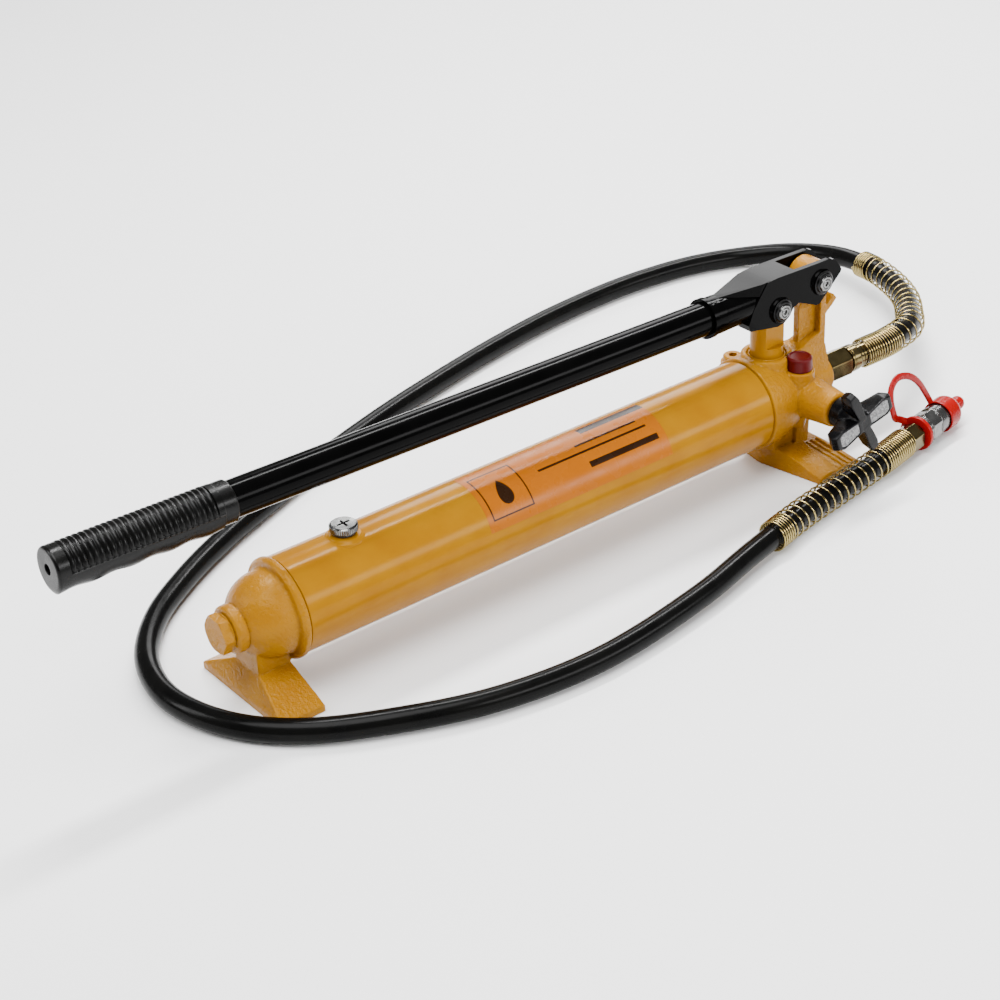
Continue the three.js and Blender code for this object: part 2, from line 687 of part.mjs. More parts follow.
function headDrillings() {
  const spigotFace = HEAD_SEAM_X - SPIGOT_LENGTH - 1;
  return [
    // plunger bore, its seal groove and the wiper's counterbore
    rod([PLUNGER_X, 0, CHAMBER_FLOOR], [PLUNGER_X, 0, BOSS_TOP + 1], PLUNGER_RADIUS + GAP, 28),
    rod([PLUNGER_X, 0, 66], [PLUNGER_X, 0, 70], 14, 24),
    rod([PLUNGER_X, 0, BOSS_TOP - 4.5], [PLUNGER_X, 0, BOSS_TOP + 1], 12.9, 28),
    // inlet: strainer bore, suction drilling, ball seat and ball pocket
    rod([spigotFace, 0, 30], [PLUNGER_X + 3, 0, 30], 3, 10),
    rod([spigotFace, 0, 30], [HEAD_SEAM_X + 2, 0, 30], 4.3, 12),
    rod([PLUNGER_X, 0, 30], [PLUNGER_X, 0, 36], 2.4, 8),
    rod([PLUNGER_X, 0, 35], [PLUNGER_X, 0, CHAMBER_FLOOR + 1], 4.5, 12),
    // outlet: pressure drilling, ball pocket and adapter thread
    rod([PLUNGER_X + 8, 0, AXIS_Z], [10, 0, AXIS_Z], 2.6, 8),
    rod([8, 0, AXIS_Z], [OUTLET_FACE_X + 1, 0, AXIS_Z], 5.6, 16),
    // release valve: spindle bore, seat and return to the reservoir
    rod([RELEASE_X, RELEASE_SEAT_Y, RELEASE_Z], [RELEASE_X, RELEASE_FACE_Y - 1, RELEASE_Z], RELEASE_BORE, 16),
    rod([RELEASE_X, 1, RELEASE_Z], [RELEASE_X, RELEASE_SEAT_Y - 1, RELEASE_Z], 1.8, 8),
    rod([RELEASE_X, -19.5, RELEASE_Z], [spigotFace, -19.5, RELEASE_Z], 2.2, 8),
    // safety valve: spring bore, slanting seat drilling and return to the reservoir
    rod([SAFETY_X, SAFETY_Y, SAFETY_SEAT], [SAFETY_X, SAFETY_Y, SAFETY_TOP + 1], 5, 14),
    rod([SAFETY_X, SAFETY_Y, SAFETY_SEAT + 1], [SAFETY_X, 0, AXIS_Z], 1.4, 6),
    rod([SAFETY_X, -15, SAFETY_SEAT + 4], [spigotFace, -15, SAFETY_SEAT + 4], 1.4, 6),
    // gallery plug on the far side
    rod([PAD_X, PAD_Y, PAD_TOP - 11.5], [PAD_X, PAD_Y, PAD_TOP + 1], 4.6, 12),
    // blind hole for the tie rod
    rod([spigotFace, 0, AXIS_Z], [HEAD_SEAM_X + 1, 0, AXIS_Z], TIE_ROD_RADIUS + GAP, 16),
  ];
}

function pumpHead() {
  const casting = add(headBody(), headPost(), headFoot(), spigot(HEAD_SEAM_X, -1));
  // The casting is spot-faced where the safety valve's cap and the gallery plug sit beside the boss.
  const capSpace = rod([SAFETY_X, SAFETY_Y, SAFETY_TOP], [SAFETY_X, SAFETY_Y, BOSS_TOP + 1], 9, 20);
  const plugSpace = rod([PAD_X, PAD_Y, PAD_TOP], [PAD_X, PAD_Y, BOSS_TOP + 1], 7.4, 16);
  return cut(casting, capSpace, plugSpace, ...headDrillings());
}

// ---------------------------------------------------------------- valves inside the head
function ball(x, y, z, radius) {
  const sphere = new THREE.SphereGeometry(radius, 12, 7);
  sphere.translate(x, y, z);
  return solid(sphere);
}

// A coil spring drawn as the sleeve that its turns fill.
function springSleeve(from, to, inner, outer) {
  return ring(from, to, inner, outer, 12);
}

function safetyCap() {
  const seat = SAFETY_TOP + GAP;
  return turned(
    [
      [0, 0],
      [0, 8.6],
      [8.2, 8.3],
      [9.4, 7.1],
      [8.9, 5],
      [8.9, 0],
    ],
    [SAFETY_X, SAFETY_Y, seat],
    [SAFETY_X, SAFETY_Y, seat + 1],
    24,
  );
}

function galleryPlug() {
  const body = turned(
    [
      [0, 0],
      [0, 4.3],
      [11, 4.3],
      [11, 6.6],
      [14, 6.6],
      [14.8, 5.8],
      [14.8, 0],
    ],
    [PAD_X, PAD_Y, PAD_TOP - 11 + GAP],
    [PAD_X, PAD_Y, PAD_TOP],
    16,
  );
  return cut(body, hexRod([PAD_X, PAD_Y, PAD_TOP + 1.6], [PAD_X, PAD_Y, PAD_TOP + 9], 6));
}

function releaseSpindle() {
  return turned(
    [
      [0, 0],
      [2.4, 2.4],
      [4, 3.6],
      [12, 3.6],
      [12, RELEASE_BORE - GAP],
      [30, RELEASE_BORE - GAP],
      [30, 3.8],
      [50, 3.8],
      [50, 0],
    ],
    [RELEASE_X, RELEASE_SEAT_Y - 6.6, RELEASE_Z],
    [RELEASE_X, RELEASE_SEAT_Y - 7.6, RELEASE_Z],
    16,
  );
}

// Black moulded knob: a collar, a flaring hub and four swept wings that make a leaning X.
function releaseKnob() {
  const shaft = 3.8 + GAP;
  let knob = turned(
    [
      [0, 0],
      [0, 10.4],
      [9, 10.6],
      [10.5, 9.4],
      [15, 8],
      [21, 7.6],
      [23.6, 6],
      [23.6, 0],
    ],
    [0, 0, 0],
    [0, -1, 0],
    24,
  );
  for (const angle of WING_ANGLES) {
    const wing = convex(
      [-1, 1].flatMap((side) => [
        [side * 3.4, -8, 3],
        [side * 3, -9, 9],
        [side * 3.6, -16.5, KNOB_REACH - 3],
        [side * 5.4, -17.6, KNOB_REACH - 5],
        [side * 4, -20.6, KNOB_REACH],
        [side * 6.4, -23.4, KNOB_REACH - 5],
        [side * 4.4, -23.6, 3],
      ]),
    );
    knob = knob.add(wing.rotate([0, angle, 0]));
  }
  // The shaft hole is cleared after the wings are joined.
  return cut(knob, rod([0, 1, 0], [0, -19.4, 0], shaft, 16));
}

// ---------------------------------------------------------------- lever and plunger
function plungerPinAtRest() {
  const arm = new THREE.Vector3(PIN_ARM_X, 0, PIN_ARM_Z);
  arm.applyAxisAngle(new THREE.Vector3(0, 1, 0), LEVER_TILT);
  return arm.add(FULCRUM);
}

const REST_PIN = plungerPinAtRest();

function plunger() {
  const foot = 52.5;
  const stem = turned(
    [
      [0, 0],
      [0, PLUNGER_RADIUS - 1.4],
      [1.4, PLUNGER_RADIUS],
      [REST_PIN.z - foot, PLUNGER_RADIUS],
      [REST_PIN.z - foot, 0],
    ],
    [PLUNGER_X, 0, foot],
    [PLUNGER_X, 0, foot + 1],
    28,
  );
  const roundEnd = rod(
    [PLUNGER_X, -10, REST_PIN.z],
    [PLUNGER_X, 10, REST_PIN.z],
    PLUNGER_RADIUS - 0.4,
    28,
  );
  const flatsFrom = 88;
  const flat = (side) =>
    box(
      [PLUNGER_X - 14, Math.min(side * (PLUNGER_FLATS / 2), side * 14), flatsFrom],
      [PLUNGER_X + 14, Math.max(side * (PLUNGER_FLATS / 2), side * 14), REST_PIN.z + 14],
    );
  const slot = [-EYE_SLIP, EYE_SLIP].map((shift) =>
    rod([PLUNGER_X + shift, -12, REST_PIN.z], [PLUNGER_X + shift, 12, REST_PIN.z], PIN_RADIUS + GAP, 20),
  );
  const slotMiddle = box(
    [PLUNGER_X - EYE_SLIP, -12, REST_PIN.z - PIN_RADIUS - GAP],
    [PLUNGER_X + EYE_SLIP, 12, REST_PIN.z + PIN_RADIUS + GAP],
  );
  return cut(add(stem, roundEnd), flat(1), flat(-1), ...slot, slotMiddle);
}

function handleBracket() {
  const ears = plateXZ(EAR_OUTLINE, -EAR_OUTER, EAR_OUTER);
  const inside = box([-61, -EAR_INNER, -30], [30, EAR_INNER, 11.2]);
  const slot = box([-23, -EAR_INNER, 5], [30, EAR_INNER, 20]);
  const axisZ = -HANDLE_DROP;
  const socket = rod([-SOCKET_END, 0, axisZ], [-83, 0, axisZ], 12.6, 28);
  const neck = rod([-84, 0, axisZ], [-56, 0, axisZ], 12.6, 28, 11.6);
  const lip = rod([-SOCKET_END, 0, axisZ], [-SOCKET_END + 3.5, 0, axisZ], 13.3, 28);
  // The top plate narrows to a point on top of the socket.
  const taper = convex([
    ...[-2.5, 2.5].map((y) => [-84, y, 10.6]),
    ...[-11.4, 11.4].map((y) => [-53, y, 13.8]),
    ...[-11.4, 11.4].map((y) => [-46, y, 14.2]),
    ...[-11.4, 11.4].flatMap((y) => [-56, -46].map((x) => [x, y, 6])),
  ]);
  const collars = [
    [0, 0],
    [PIN_ARM_X, PIN_ARM_Z],
  ].flatMap(([x, z]) =>
    [-1, 1].map((side) =>
      rod([x, side * (EAR_OUTER - 0.5), z], [x, side * (EAR_OUTER + 1.2), z], 9.2, 20, 8.4),
    ),
  );
  const holes = [
    [0, 0],
    [PIN_ARM_X, PIN_ARM_Z],
  ].map(([x, z]) => rod([x, -20, z], [x, 20, z], PIN_RADIUS + GAP, 20));
  const handleHole = rod([-SOCKET_END - 5, 0, axisZ], [-66, 0, axisZ], HANDLE_RADIUS + GAP, 24);
  const welded = add(ears, socket, neck, lip, taper, ...collars);
  return cut(welded, inside, slot, ...holes, handleHole);
}

function handleTube() {
  const inner = -67;
  const outer = -GRIP_END + 4;
  const ends = [outer, inner].map((x) => [x, 0, -HANDLE_DROP]);
  return ring(...ends, HANDLE_RADIUS - 1.8, HANDLE_RADIUS, 24);
}

// The moulded rubber grip: a round upper side and four shallow finger waves below.
function handleGrip() {
  const end = -GRIP_END;
  const mouth = end + GRIP_LENGTH;
  const z = -HANDLE_DROP;
  const body = turned(
    [
      [0, 0],
      [0, GRIP_RADIUS - 1],
      [1, GRIP_RADIUS],
      [14, GRIP_RADIUS - 0.3],
      [GRIP_LENGTH - 12, GRIP_RADIUS - 0.3],
      [GRIP_LENGTH, GRIP_RADIUS - 0.8],
      [GRIP_LENGTH, 0],
    ],
    [end, 0, z],
    [end + 1, 0, z],
    28,
  );
  const waves = [];
  const waveCount = 4;
  const waveLength = 23.5;
  const lower = [[mouth - 2, z]];
  for (let i = 0; i <= waveCount * 6; i += 1) {
    const along = mouth - 6 - (i * waveLength) / 6;
    const dip = 1.1 * Math.cos((i * 2 * Math.PI) / 6);
    lower.push([along, z - GRIP_RADIUS - 1.3 + dip]);
  }
  lower.push([end + 4, z - GRIP_RADIUS - 2.6]);
  lower.push([end, z - GRIP_RADIUS - 0.6]);
  lower.push([end, z]);
  waves.push(plateXZ(lower, -7, 7));
  const bore = rod([end + 4 - GAP, 0, z], [mouth + 1, 0, z], HANDLE_RADIUS + GAP, 24);
  const vent = rod([end - 1, 0, z], [end + 6, 0, z], 2.2, 10);
  return cut(add(body, ...waves), bore, vent);
}

function pin() {
  const length = 2 * PIN_END;
  return turned(
    [
      [0, 0],
      [0, PIN_HEAD_RADIUS - 0.6],
      [0.6, PIN_HEAD_RADIUS],
      [PIN_HEAD, PIN_HEAD_RADIUS],
      [PIN_HEAD, PIN_RADIUS],
      [length - PIN_HEAD, PIN_RADIUS],
      [length - PIN_HEAD, PIN_HEAD_RADIUS],
      [length - 0.6, PIN_HEAD_RADIUS],
      [length, PIN_HEAD_RADIUS - 0.6],
      [length, 0],
    ],
    [0, PIN_END, 0],
    [0, PIN_END - 1, 0],
    20,
  );
}

// A retaining ring on a pin, just outside the bracket's collar.
function pinClip(side) {
  const near = side * (EAR_OUTER + 1.2 + GAP);
  return ring([0, near, 0], [0, near + side * 0.8, 0], PIN_RADIUS + GAP, 8.2, 20);
}

// ---------------------------------------------------------------- hose assembly
function outletAdapter() {
  const hexStart = OUTLET_FACE_X + 1.8;
  const thread = rod([OUTLET_FACE_X - 9, 0, AXIS_Z], [hexStart + 1, 0, AXIS_Z], 5.3, 16);
  const hex = hexRod([hexStart, 0, AXIS_Z], [54, 0, AXIS_Z], 19);
  const neck = turned(
    [
      [0, 0],
      [0, 7.4],
      [3, 7.4],
      [3, 9.4],
      [10, 9.4],
      [11.2, 8.6],
      [14, 8.6],
      [14, 0],
    ],
    [53, 0, AXIS_Z],
    [54, 0, AXIS_Z],
    20,
  );
  const bore = rod([OUTLET_FACE_X - 10, 0, AXIS_Z], [70, 0, AXIS_Z], 2.5, 8);
  const hoseSeat = rod([61, 0, AXIS_Z], [70, 0, AXIS_Z], FERRULE_INNER, 20);
  return cut(add(thread, hex, neck), bore, hoseSeat);
}

const OUTLET_GUARD_FROM = OUTLET_GUARD_START - HOSE_ROUTE[0][0];
const COUPLER_GUARD_TO = HOSE_LENGTH - 3;

function hose() {
  return swept(hoseStretch(0, HOSE_LENGTH, 20), disc(HOSE_RADIUS, 10), 64);
}

function hoseSleeve(from, to, inner, outer, steps, sides = 10) {
  return swept(hoseStretch(from, to, 12), washerShape(inner, outer, sides), steps);
}

const END_POINT = new THREE.Vector3(...hosePoint(HOSE_LENGTH));
const END_DIRECTION = END_POINT.clone()
  .sub(new THREE.Vector3(...hosePoint(HOSE_LENGTH - 4)))
  .normalize();

// A point on the coupler's axis, this far past the end of the hose.
function past(distance) {
  return END_POINT.clone().addScaledVector(END_DIRECTION, distance).toArray();
}

function couplerNut() {
  const hex = hexRod(past(-2.3), past(10), 17);
  const stem = rod(past(9), past(22), 5.2, 16);
  const hoseSeat = rod(past(-3), past(0.4), FERRULE_INNER, 20);
  const bore = rod(past(-4), past(23), 2.5, 8);
  return cut(add(hex, stem), hoseSeat, bore);
}

function couplerBody() {
  const shoulder = rod(past(16.4), past(20.6), 10.2, 24);
  const hex = hexRod(past(20), past(31.5), COUPLER_FLATS);
  const barrel = turned(
    [
      [0, 0],
      [0, 10.4],
      [2.6, 10.4],
      [3, BARREL_RADIUS],
      [20, BARREL_RADIUS],
      [21, BARREL_RADIUS - 1],
      [21, 0],
    ],
    past(31),
    past(32),
    24,
  );
  const socket = rod(past(16), past(24), 5.2 + GAP, 16);
  const bore = rod(past(15), past(53), 3, 12);
  const ballSeat = rod(past(42), past(53), 5.4, 12);
  return cut(add(hex, shoulder, barrel), socket, bore, ballSeat);
}

function dustCap() {
  const inner = BARREL_RADIUS + GAP;
  return turned(
    [
      [0, inner],
      [0, DUST_CAP_RADIUS - 0.4],
      [0.5, DUST_CAP_RADIUS],
      [11, DUST_CAP_RADIUS],
      [13.2, DUST_CAP_RADIUS - 1],
      [15.4, DUST_CAP_RADIUS - 3.2],
      [17.6, 5.4],
      [19.6, 4.1],
      [21.4, 4.1],
      [23.2, 4.7],
      [26.4, 4.8],
      [28.6, 3.8],
      [29.9, 1.6],
      [30, 0],
      [12, 0],
      [12, inner],
      [0, inner],
    ],
    past(CAP_START),
    past(CAP_START + 1),
    24,
  );
}

// The strap: an eye round the coupler's neck and a loop that stands up and reaches the cap.
function capStrap() {
  const side = new THREE.Vector3(0, 0, 1).cross(END_DIRECTION).normalize();
  const up = END_DIRECTION.clone().cross(side).normalize();
  const at = (along, sideways, upwards) =>
    new THREE.Vector3(...past(along))
      .addScaledVector(side, sideways)
      .addScaledVector(up, upwards)
      .toArray();
  const eye = ring(past(12.2), past(15.2), 7, 12.2, 24);
  const section = new THREE.Shape([
    new THREE.Vector2(-STRAP_THICKNESS / 2, -STRAP_WIDTH / 2),
    new THREE.Vector2(STRAP_THICKNESS / 2, -STRAP_WIDTH / 2),
    new THREE.Vector2(STRAP_THICKNESS / 2, STRAP_WIDTH / 2),
    new THREE.Vector2(-STRAP_THICKNESS / 2, STRAP_WIDTH / 2),
  ]);
  const loop = swept(STRAP_LOOP.map((place) => at(...place)), section, 18);
  return cut(add(eye, loop), rod(past(31), past(60), DUST_CAP_RADIUS + GAP, 24));
}

// ---------------------------------------------------------------- the scene graph
const yellowPaint = paint(YELLOW, 0.35, 0);
const blackPaint = paint(BLACK, 0.25, 0);
const blackRubber = paint(BLACK, 0.8, 0);
const steel = paint(STEEL, 0.3, 1);
const darkSteel = paint(DARK_STEEL, 0.45, 1);
const zinc = paint(ZINC, 0.35, 1);

piece(pump, "reservoir_tube", reservoirTube(), yellowPaint);
piece(pump, "rear_cap", rearCap(), yellowPaint.clone());
piece(pump, "rear_plug", rearPlug(), yellowPaint.clone());
piece(pump, "tie_rod", tieRod(), darkSteel);
piece(pump, "rear_seal", spigotSeal(CAP_SEAM_X, 1), blackRubber.clone());
piece(pump, "head_seal", spigotSeal(HEAD_SEAM_X, -1), blackRubber.clone());
piece(pump, "filler_screw", fillerScrew(), zinc.clone());
piece(pump, "filler_seal", fillerSeal(), blackRubber.clone());
piece(pump, "pump_head", pumpHead(), yellowPaint.clone());
piece(
  pump,
  "suction_tube",
  ring([HEAD_SEAM_X - 44, 0, 30], [HEAD_SEAM_X + 1.4, 0, 30], 2.6, 4, 12),
  darkSteel.clone(),
);
piece(
  pump,
  "suction_strainer",
  ring([HEAD_SEAM_X - 40, 0, 30], [HEAD_SEAM_X - 20, 0, 30], 4 + GAP, 7.5, 16),
  paint(0xc9a95a, 0.5, 1),
);
piece(pump, "inlet_ball", ball(PLUNGER_X, 0, 40, 4), steel.clone());
piece(pump, "outlet_ball", ball(12.6, 0, AXIS_Z, 4), steel.clone());
piece(
  pump,
  "outlet_spring",
  springSleeve([17, 0, AXIS_Z], [OUTLET_FACE_X - 9.4, 0, AXIS_Z], 3, 4.4),
  darkSteel.clone(),
);
piece(
  pump,
  "plunger_seal",
  ring([PLUNGER_X, 0, 66.4], [PLUNGER_X, 0, 69.6], PLUNGER_RADIUS + GAP, 13.6, 24),
  blackRubber.clone(),
);
piece(
  pump,
  "plunger_wiper",
  ring([PLUNGER_X, 0, BOSS_TOP - 4], [PLUNGER_X, 0, BOSS_TOP - 0.4], PLUNGER_RADIUS + GAP, 12.6, 28),
  blackRubber.clone(),
);
piece(pump, "safety_cap", safetyCap(), paint(DARK_RED, 0.45, 0));
piece(
  pump,
  "safety_screw",
  cut(
    rod([SAFETY_X, SAFETY_Y, 69], [SAFETY_X, SAFETY_Y, SAFETY_TOP - 0.2], 4.6, 14),
    hexRod([SAFETY_X, SAFETY_Y, 70.2], [SAFETY_X, SAFETY_Y, SAFETY_TOP + 1], 4),
  ),
  darkSteel.clone(),
);
piece(
  pump,
  "safety_spring",
  springSleeve([SAFETY_X, SAFETY_Y, 64.6], [SAFETY_X, SAFETY_Y, 68.7], 2.6, 4.2),
  darkSteel.clone(),
);
piece(pump, "safety_ball", ball(SAFETY_X, SAFETY_Y, 62.2, 2), steel.clone());
piece(pump, "gallery_plug", galleryPlug(), zinc.clone());

const releaseValve = new THREE.Group();
pump.add(releaseValve);
piece(releaseValve, "release_spindle", releaseSpindle(), steel.clone());
const knob = piece(releaseValve, "release_knob", releaseKnob(), paint(BLACK, 0.45, 0));
knob.position.set(RELEASE_X, RELEASE_FACE_Y - 1, RELEASE_Z);
piece(pump, "release_ball", ball(RELEASE_X, RELEASE_SEAT_Y - 3.4, RELEASE_Z, 2.8), steel.clone());

piece(pump, "plunger", plunger(), yellowPaint.clone());

const lever = new THREE.Group();
lever.position.copy(FULCRUM);
lever.rotation.y = LEVER_TILT;
pump.add(lever);
piece(lever, "handle_bracket", handleBracket(), blackPaint);
piece(lever, "handle_tube", handleTube(), blackPaint.clone());
piece(lever, "handle_grip", handleGrip(), blackRubber);
const pinPlaces = {
  fulcrum: [0, 0, 0],
  plunger: [PIN_ARM_X, 0, PIN_ARM_Z],
};
for (const [name, place] of Object.entries(pinPlaces)) {
  piece(lever, name + "_pin", pin(), steel.clone()).position.set(...place);
  piece(lever, name + "_clip_near", pinClip(-1), darkSteel.clone()).position.set(...place);
  piece(lever, name + "_clip_far", pinClip(1), darkSteel.clone()).position.set(...place);
}

piece(pump, "outlet_adapter", outletAdapter(), zinc.clone());
piece(
  pump,
  "outlet_washer",
  ring([OUTLET_FACE_X + GAP, 0, AXIS_Z], [OUTLET_FACE_X + 1.5, 0, AXIS_Z], 5.3 + GAP, 9.6, 20),
  paint(COPPER, 0.4, 1),
);
piece(
  pump,
  "outlet_ferrule",
  ring([67.6, 0, AXIS_Z], [86, 0, AXIS_Z], FERRULE_INNER, FERRULE_OUTER, 20),
  zinc.clone(),
);
piece(
  pump,
  "outlet_guard",
  hoseSleeve(OUTLET_GUARD_FROM, OUTLET_GUARD_FROM + OUTLET_GUARD_LENGTH, GUARD_INNER, GUARD_OUTER, 18),
  zinc,
);
piece(pump, "hose", hose(), paint(BLACK, 0.3, 0));
piece(
  pump,
  "coupler_ferrule",
  ring(past(-22), past(-2.8), FERRULE_INNER, FERRULE_OUTER, 20),
  zinc.clone(),
);
piece(
  pump,
  "coupler_guard",
  hoseSleeve(COUPLER_GUARD_TO - COUPLER_GUARD_LENGTH, COUPLER_GUARD_TO, GUARD_INNER, GUARD_OUTER, 14),
  zinc.clone(),
);
piece(pump, "coupler_nut", couplerNut(), zinc.clone());
piece(pump, "coupler_body", couplerBody(), steel);
piece(pump, "dust_cap", dustCap(), paint(RED, 0.4, 0));
piece(pump, "cap_strap", capStrap(), paint(RED, 0.4, 0));

export default pump;
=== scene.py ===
"""Looks of the hydraulic hand pump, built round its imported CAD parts."""
import json
import math

import bmesh
import bpy
from mathutils import Matrix, Vector


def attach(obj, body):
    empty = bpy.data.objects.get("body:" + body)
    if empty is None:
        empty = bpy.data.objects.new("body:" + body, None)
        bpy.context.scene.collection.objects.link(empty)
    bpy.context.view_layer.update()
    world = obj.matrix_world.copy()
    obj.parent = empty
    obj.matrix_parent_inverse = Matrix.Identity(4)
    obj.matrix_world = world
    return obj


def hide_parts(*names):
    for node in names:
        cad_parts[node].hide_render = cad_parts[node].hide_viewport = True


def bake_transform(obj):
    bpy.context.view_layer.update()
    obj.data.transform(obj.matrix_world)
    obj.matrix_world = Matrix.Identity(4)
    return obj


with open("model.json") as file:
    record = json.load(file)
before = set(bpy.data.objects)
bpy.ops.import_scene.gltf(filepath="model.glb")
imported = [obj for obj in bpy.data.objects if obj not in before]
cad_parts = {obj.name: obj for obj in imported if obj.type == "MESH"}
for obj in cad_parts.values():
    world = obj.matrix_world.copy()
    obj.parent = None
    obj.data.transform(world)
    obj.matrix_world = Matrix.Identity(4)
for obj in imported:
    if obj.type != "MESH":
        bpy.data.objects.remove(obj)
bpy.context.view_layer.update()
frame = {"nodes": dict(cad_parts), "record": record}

# ---------------------------------------------------------------- named values, in millimetres
MM = 0.001
AXIS_Z = 49.3
TUBE_RADIUS = 30
HEAD_SEAM_X = -40
CAP_SEAM_X = -401
FILLER_X = -355.6
PLUNGER_X = -18.6
PLUNGER_RADIUS = 11
BOSS_RADIUS = 17
BOSS_TOP = 81.5
OUTLET_FACE_X = 32
OUTLET_RADIUS = 14
WASHER_ROOM = 1.8  # between the outlet's face and the adapter's hexagon
RELEASE_X = -3
RELEASE_Z = 52
RELEASE_FACE_Y = -51
PAD_WING_ANGLES = (73, -107)
WING_ANGLES = (*PAD_WING_ANGLES, -28, -208)
SAFETY_X = -7
SAFETY_Y = -19
SAFETY_TOP = 72
PAD_X = -26
PAD_Y = 24
PAD_TOP = 69
FOOT_HALF_WIDTH = 50
FOOT_EDGE = 4.5
REAR_FOOT_HALF_WIDTH = 42.5
REAR_FOOT_FRONT = CAP_SEAM_X - 4
REAR_FOOT_LENGTH = 30

FULCRUM = Vector((18.3, 0, 123.9))
LEVER_TILT = math.radians(1.07)
PIN_PLACES = {"fulcrum": (0, 0), "plunger": (-36.8, -9)}
PIN_RADIUS = 5.6
PIN_END = 16.8
EAR_INNER = 8.6
EAR_OUTER = 12
HANDLE_RADIUS = 11
HANDLE_Z = -1.8
SOCKET_END = -94
GRIP_END = -557.6
GRIP_LENGTH = 111
EAR_OUTLINE = [
    (6, 14.2), (10.6, 13), (13.4, 10.4), (18, 4.4), (17.6, 2.4), (-0.6, -15.2),
    (-3.4, -15.6), (-13, -11.6), (-20, -8.8), (-24.6, -10.6), (-28, -15.6), (-32.4, -19),
    (-38.4, -20.2), (-45, -19.2), (-56, -17.2), (-63, -16.2), (-64.5, -12), (-60.5, -2),
    (-49, 13.9), (-40, 14.6),
]

HOSE_RADIUS = 7.5
HOSE_ROUTE = [
    (62, 0, 49.3), (78, 0, 49.3), (92, 0, 49.3), (110, 3.2, 48.5), (134, 13.5, 44.6),
    (160, 37, 37.5), (188, 66, 30.2), (209, 98, 25), (223, 135, 21.6), (226, 175, 17.5),
    (213, 212, 12), (184, 239, 8.4), (147, 254, 7.8), (100, 261, 7.8), (57, 261.5, 7.8),
    (0, 256.5, 7.8), (-52, 247.5, 7.8), (-100, 236.5, 7.8), (-178, 215.3, 7.8),
    (-260, 187, 7.8), (-310, 167, 7.8), (-355, 147.5, 7.8), (-398, 123.5, 7.8),
    (-435, 96, 7.8), (-461, 62, 7.8), (-471, 26, 7.8), (-467, -6, 7.8),
    (-452.5, -36, 7.8), (-428, -61, 7.8), (-384, -86, 7.8), (-331, -106.5, 7.8),
    (-262, -115.6, 8), (-175, -106.4, 9.6), (-120, -93.5, 11), (-64, -80.5, 10.9),
    (-22, -73.8, 10.9), (8, -69.4, 11.4), (29.5, -66, 12.1), (41.2, -63.6, 12.3),
    (53, -61.2, 12.4),
]
FERRULE_START = 67.6
FERRULE_BORE = 7.55
FERRULE_RADIUS = 8.5
FERRULE_NECK = 7.75  # its radius under the guard's wire
GUARD_MIDDLE = 9.8
GUARD_WIRE = 0.6
OUTLET_GUARD = (8.6, 239.6)
COUPLER_GUARD_LENGTH = 150
TIGHT_PITCH = 2.3
OUTLET_OPEN_PITCH = 8.6
OUTLET_STRETCH = 0.55  # how much wider the outlet guard's pitch is at its middle
COUPLER_OPEN_PITCH = 7.3
PITCH_CHANGE = 7  # the length over which the pitch opens
CAP_START = 41
STRAP_LOOP = [
    (13.4, 7.5, 6.5), (8, 10.6, 9.8), (3.4, 11, 12.4), (1.6, 11.6, 16.9), (1.8, 14.1, 25.2),
    (5, 16.2, 32.2), (13.2, 17.4, 36.2), (23.5, 16.8, 34.2), (31.3, 15.4, 29.8),
    (37.1, 13.5, 23.5), (41, 11.5, 16.5), (43, 9.3, 11), (43.6, 7.9, 8.2),
]


# ---------------------------------------------------------------- curves
def spline(points, per_span):
    """A centripetal Catmull-Rom curve through the points, as closely spaced points."""
    points = [Vector(p) for p in points]
    points = [points[0] * 2 - points[1]] + points + [points[-1] * 2 - points[-2]]
    line = []
    for a, b, c, d in zip(points, points[1:], points[2:], points[3:]):
        t0 = 0
        t1 = t0 + max((b - a).length ** 0.5, 1e-4)
        t2 = t1 + max((c - b).length ** 0.5, 1e-4)
        t3 = t2 + max((d - c).length ** 0.5, 1e-4)
        for i in range(per_span):
            t = t1 + (t2 - t1) * i / per_span
            ab = a * ((t1 - t) / (t1 - t0)) + b * ((t - t0) / (t1 - t0))
            bc = b * ((t2 - t) / (t2 - t1)) + c * ((t - t1) / (t2 - t1))
            cd = c * ((t3 - t) / (t3 - t2)) + d * ((t - t2) / (t3 - t2))
            abc = ab * ((t2 - t) / (t2 - t0)) + bc * ((t - t0) / (t2 - t0))
            bcd = bc * ((t3 - t) / (t3 - t1)) + cd * ((t - t1) / (t3 - t1))
            line.append(abc * ((t2 - t) / (t2 - t1)) + bcd * ((t - t1) / (t2 - t1)))
    line.append(points[-2].copy())
    return line


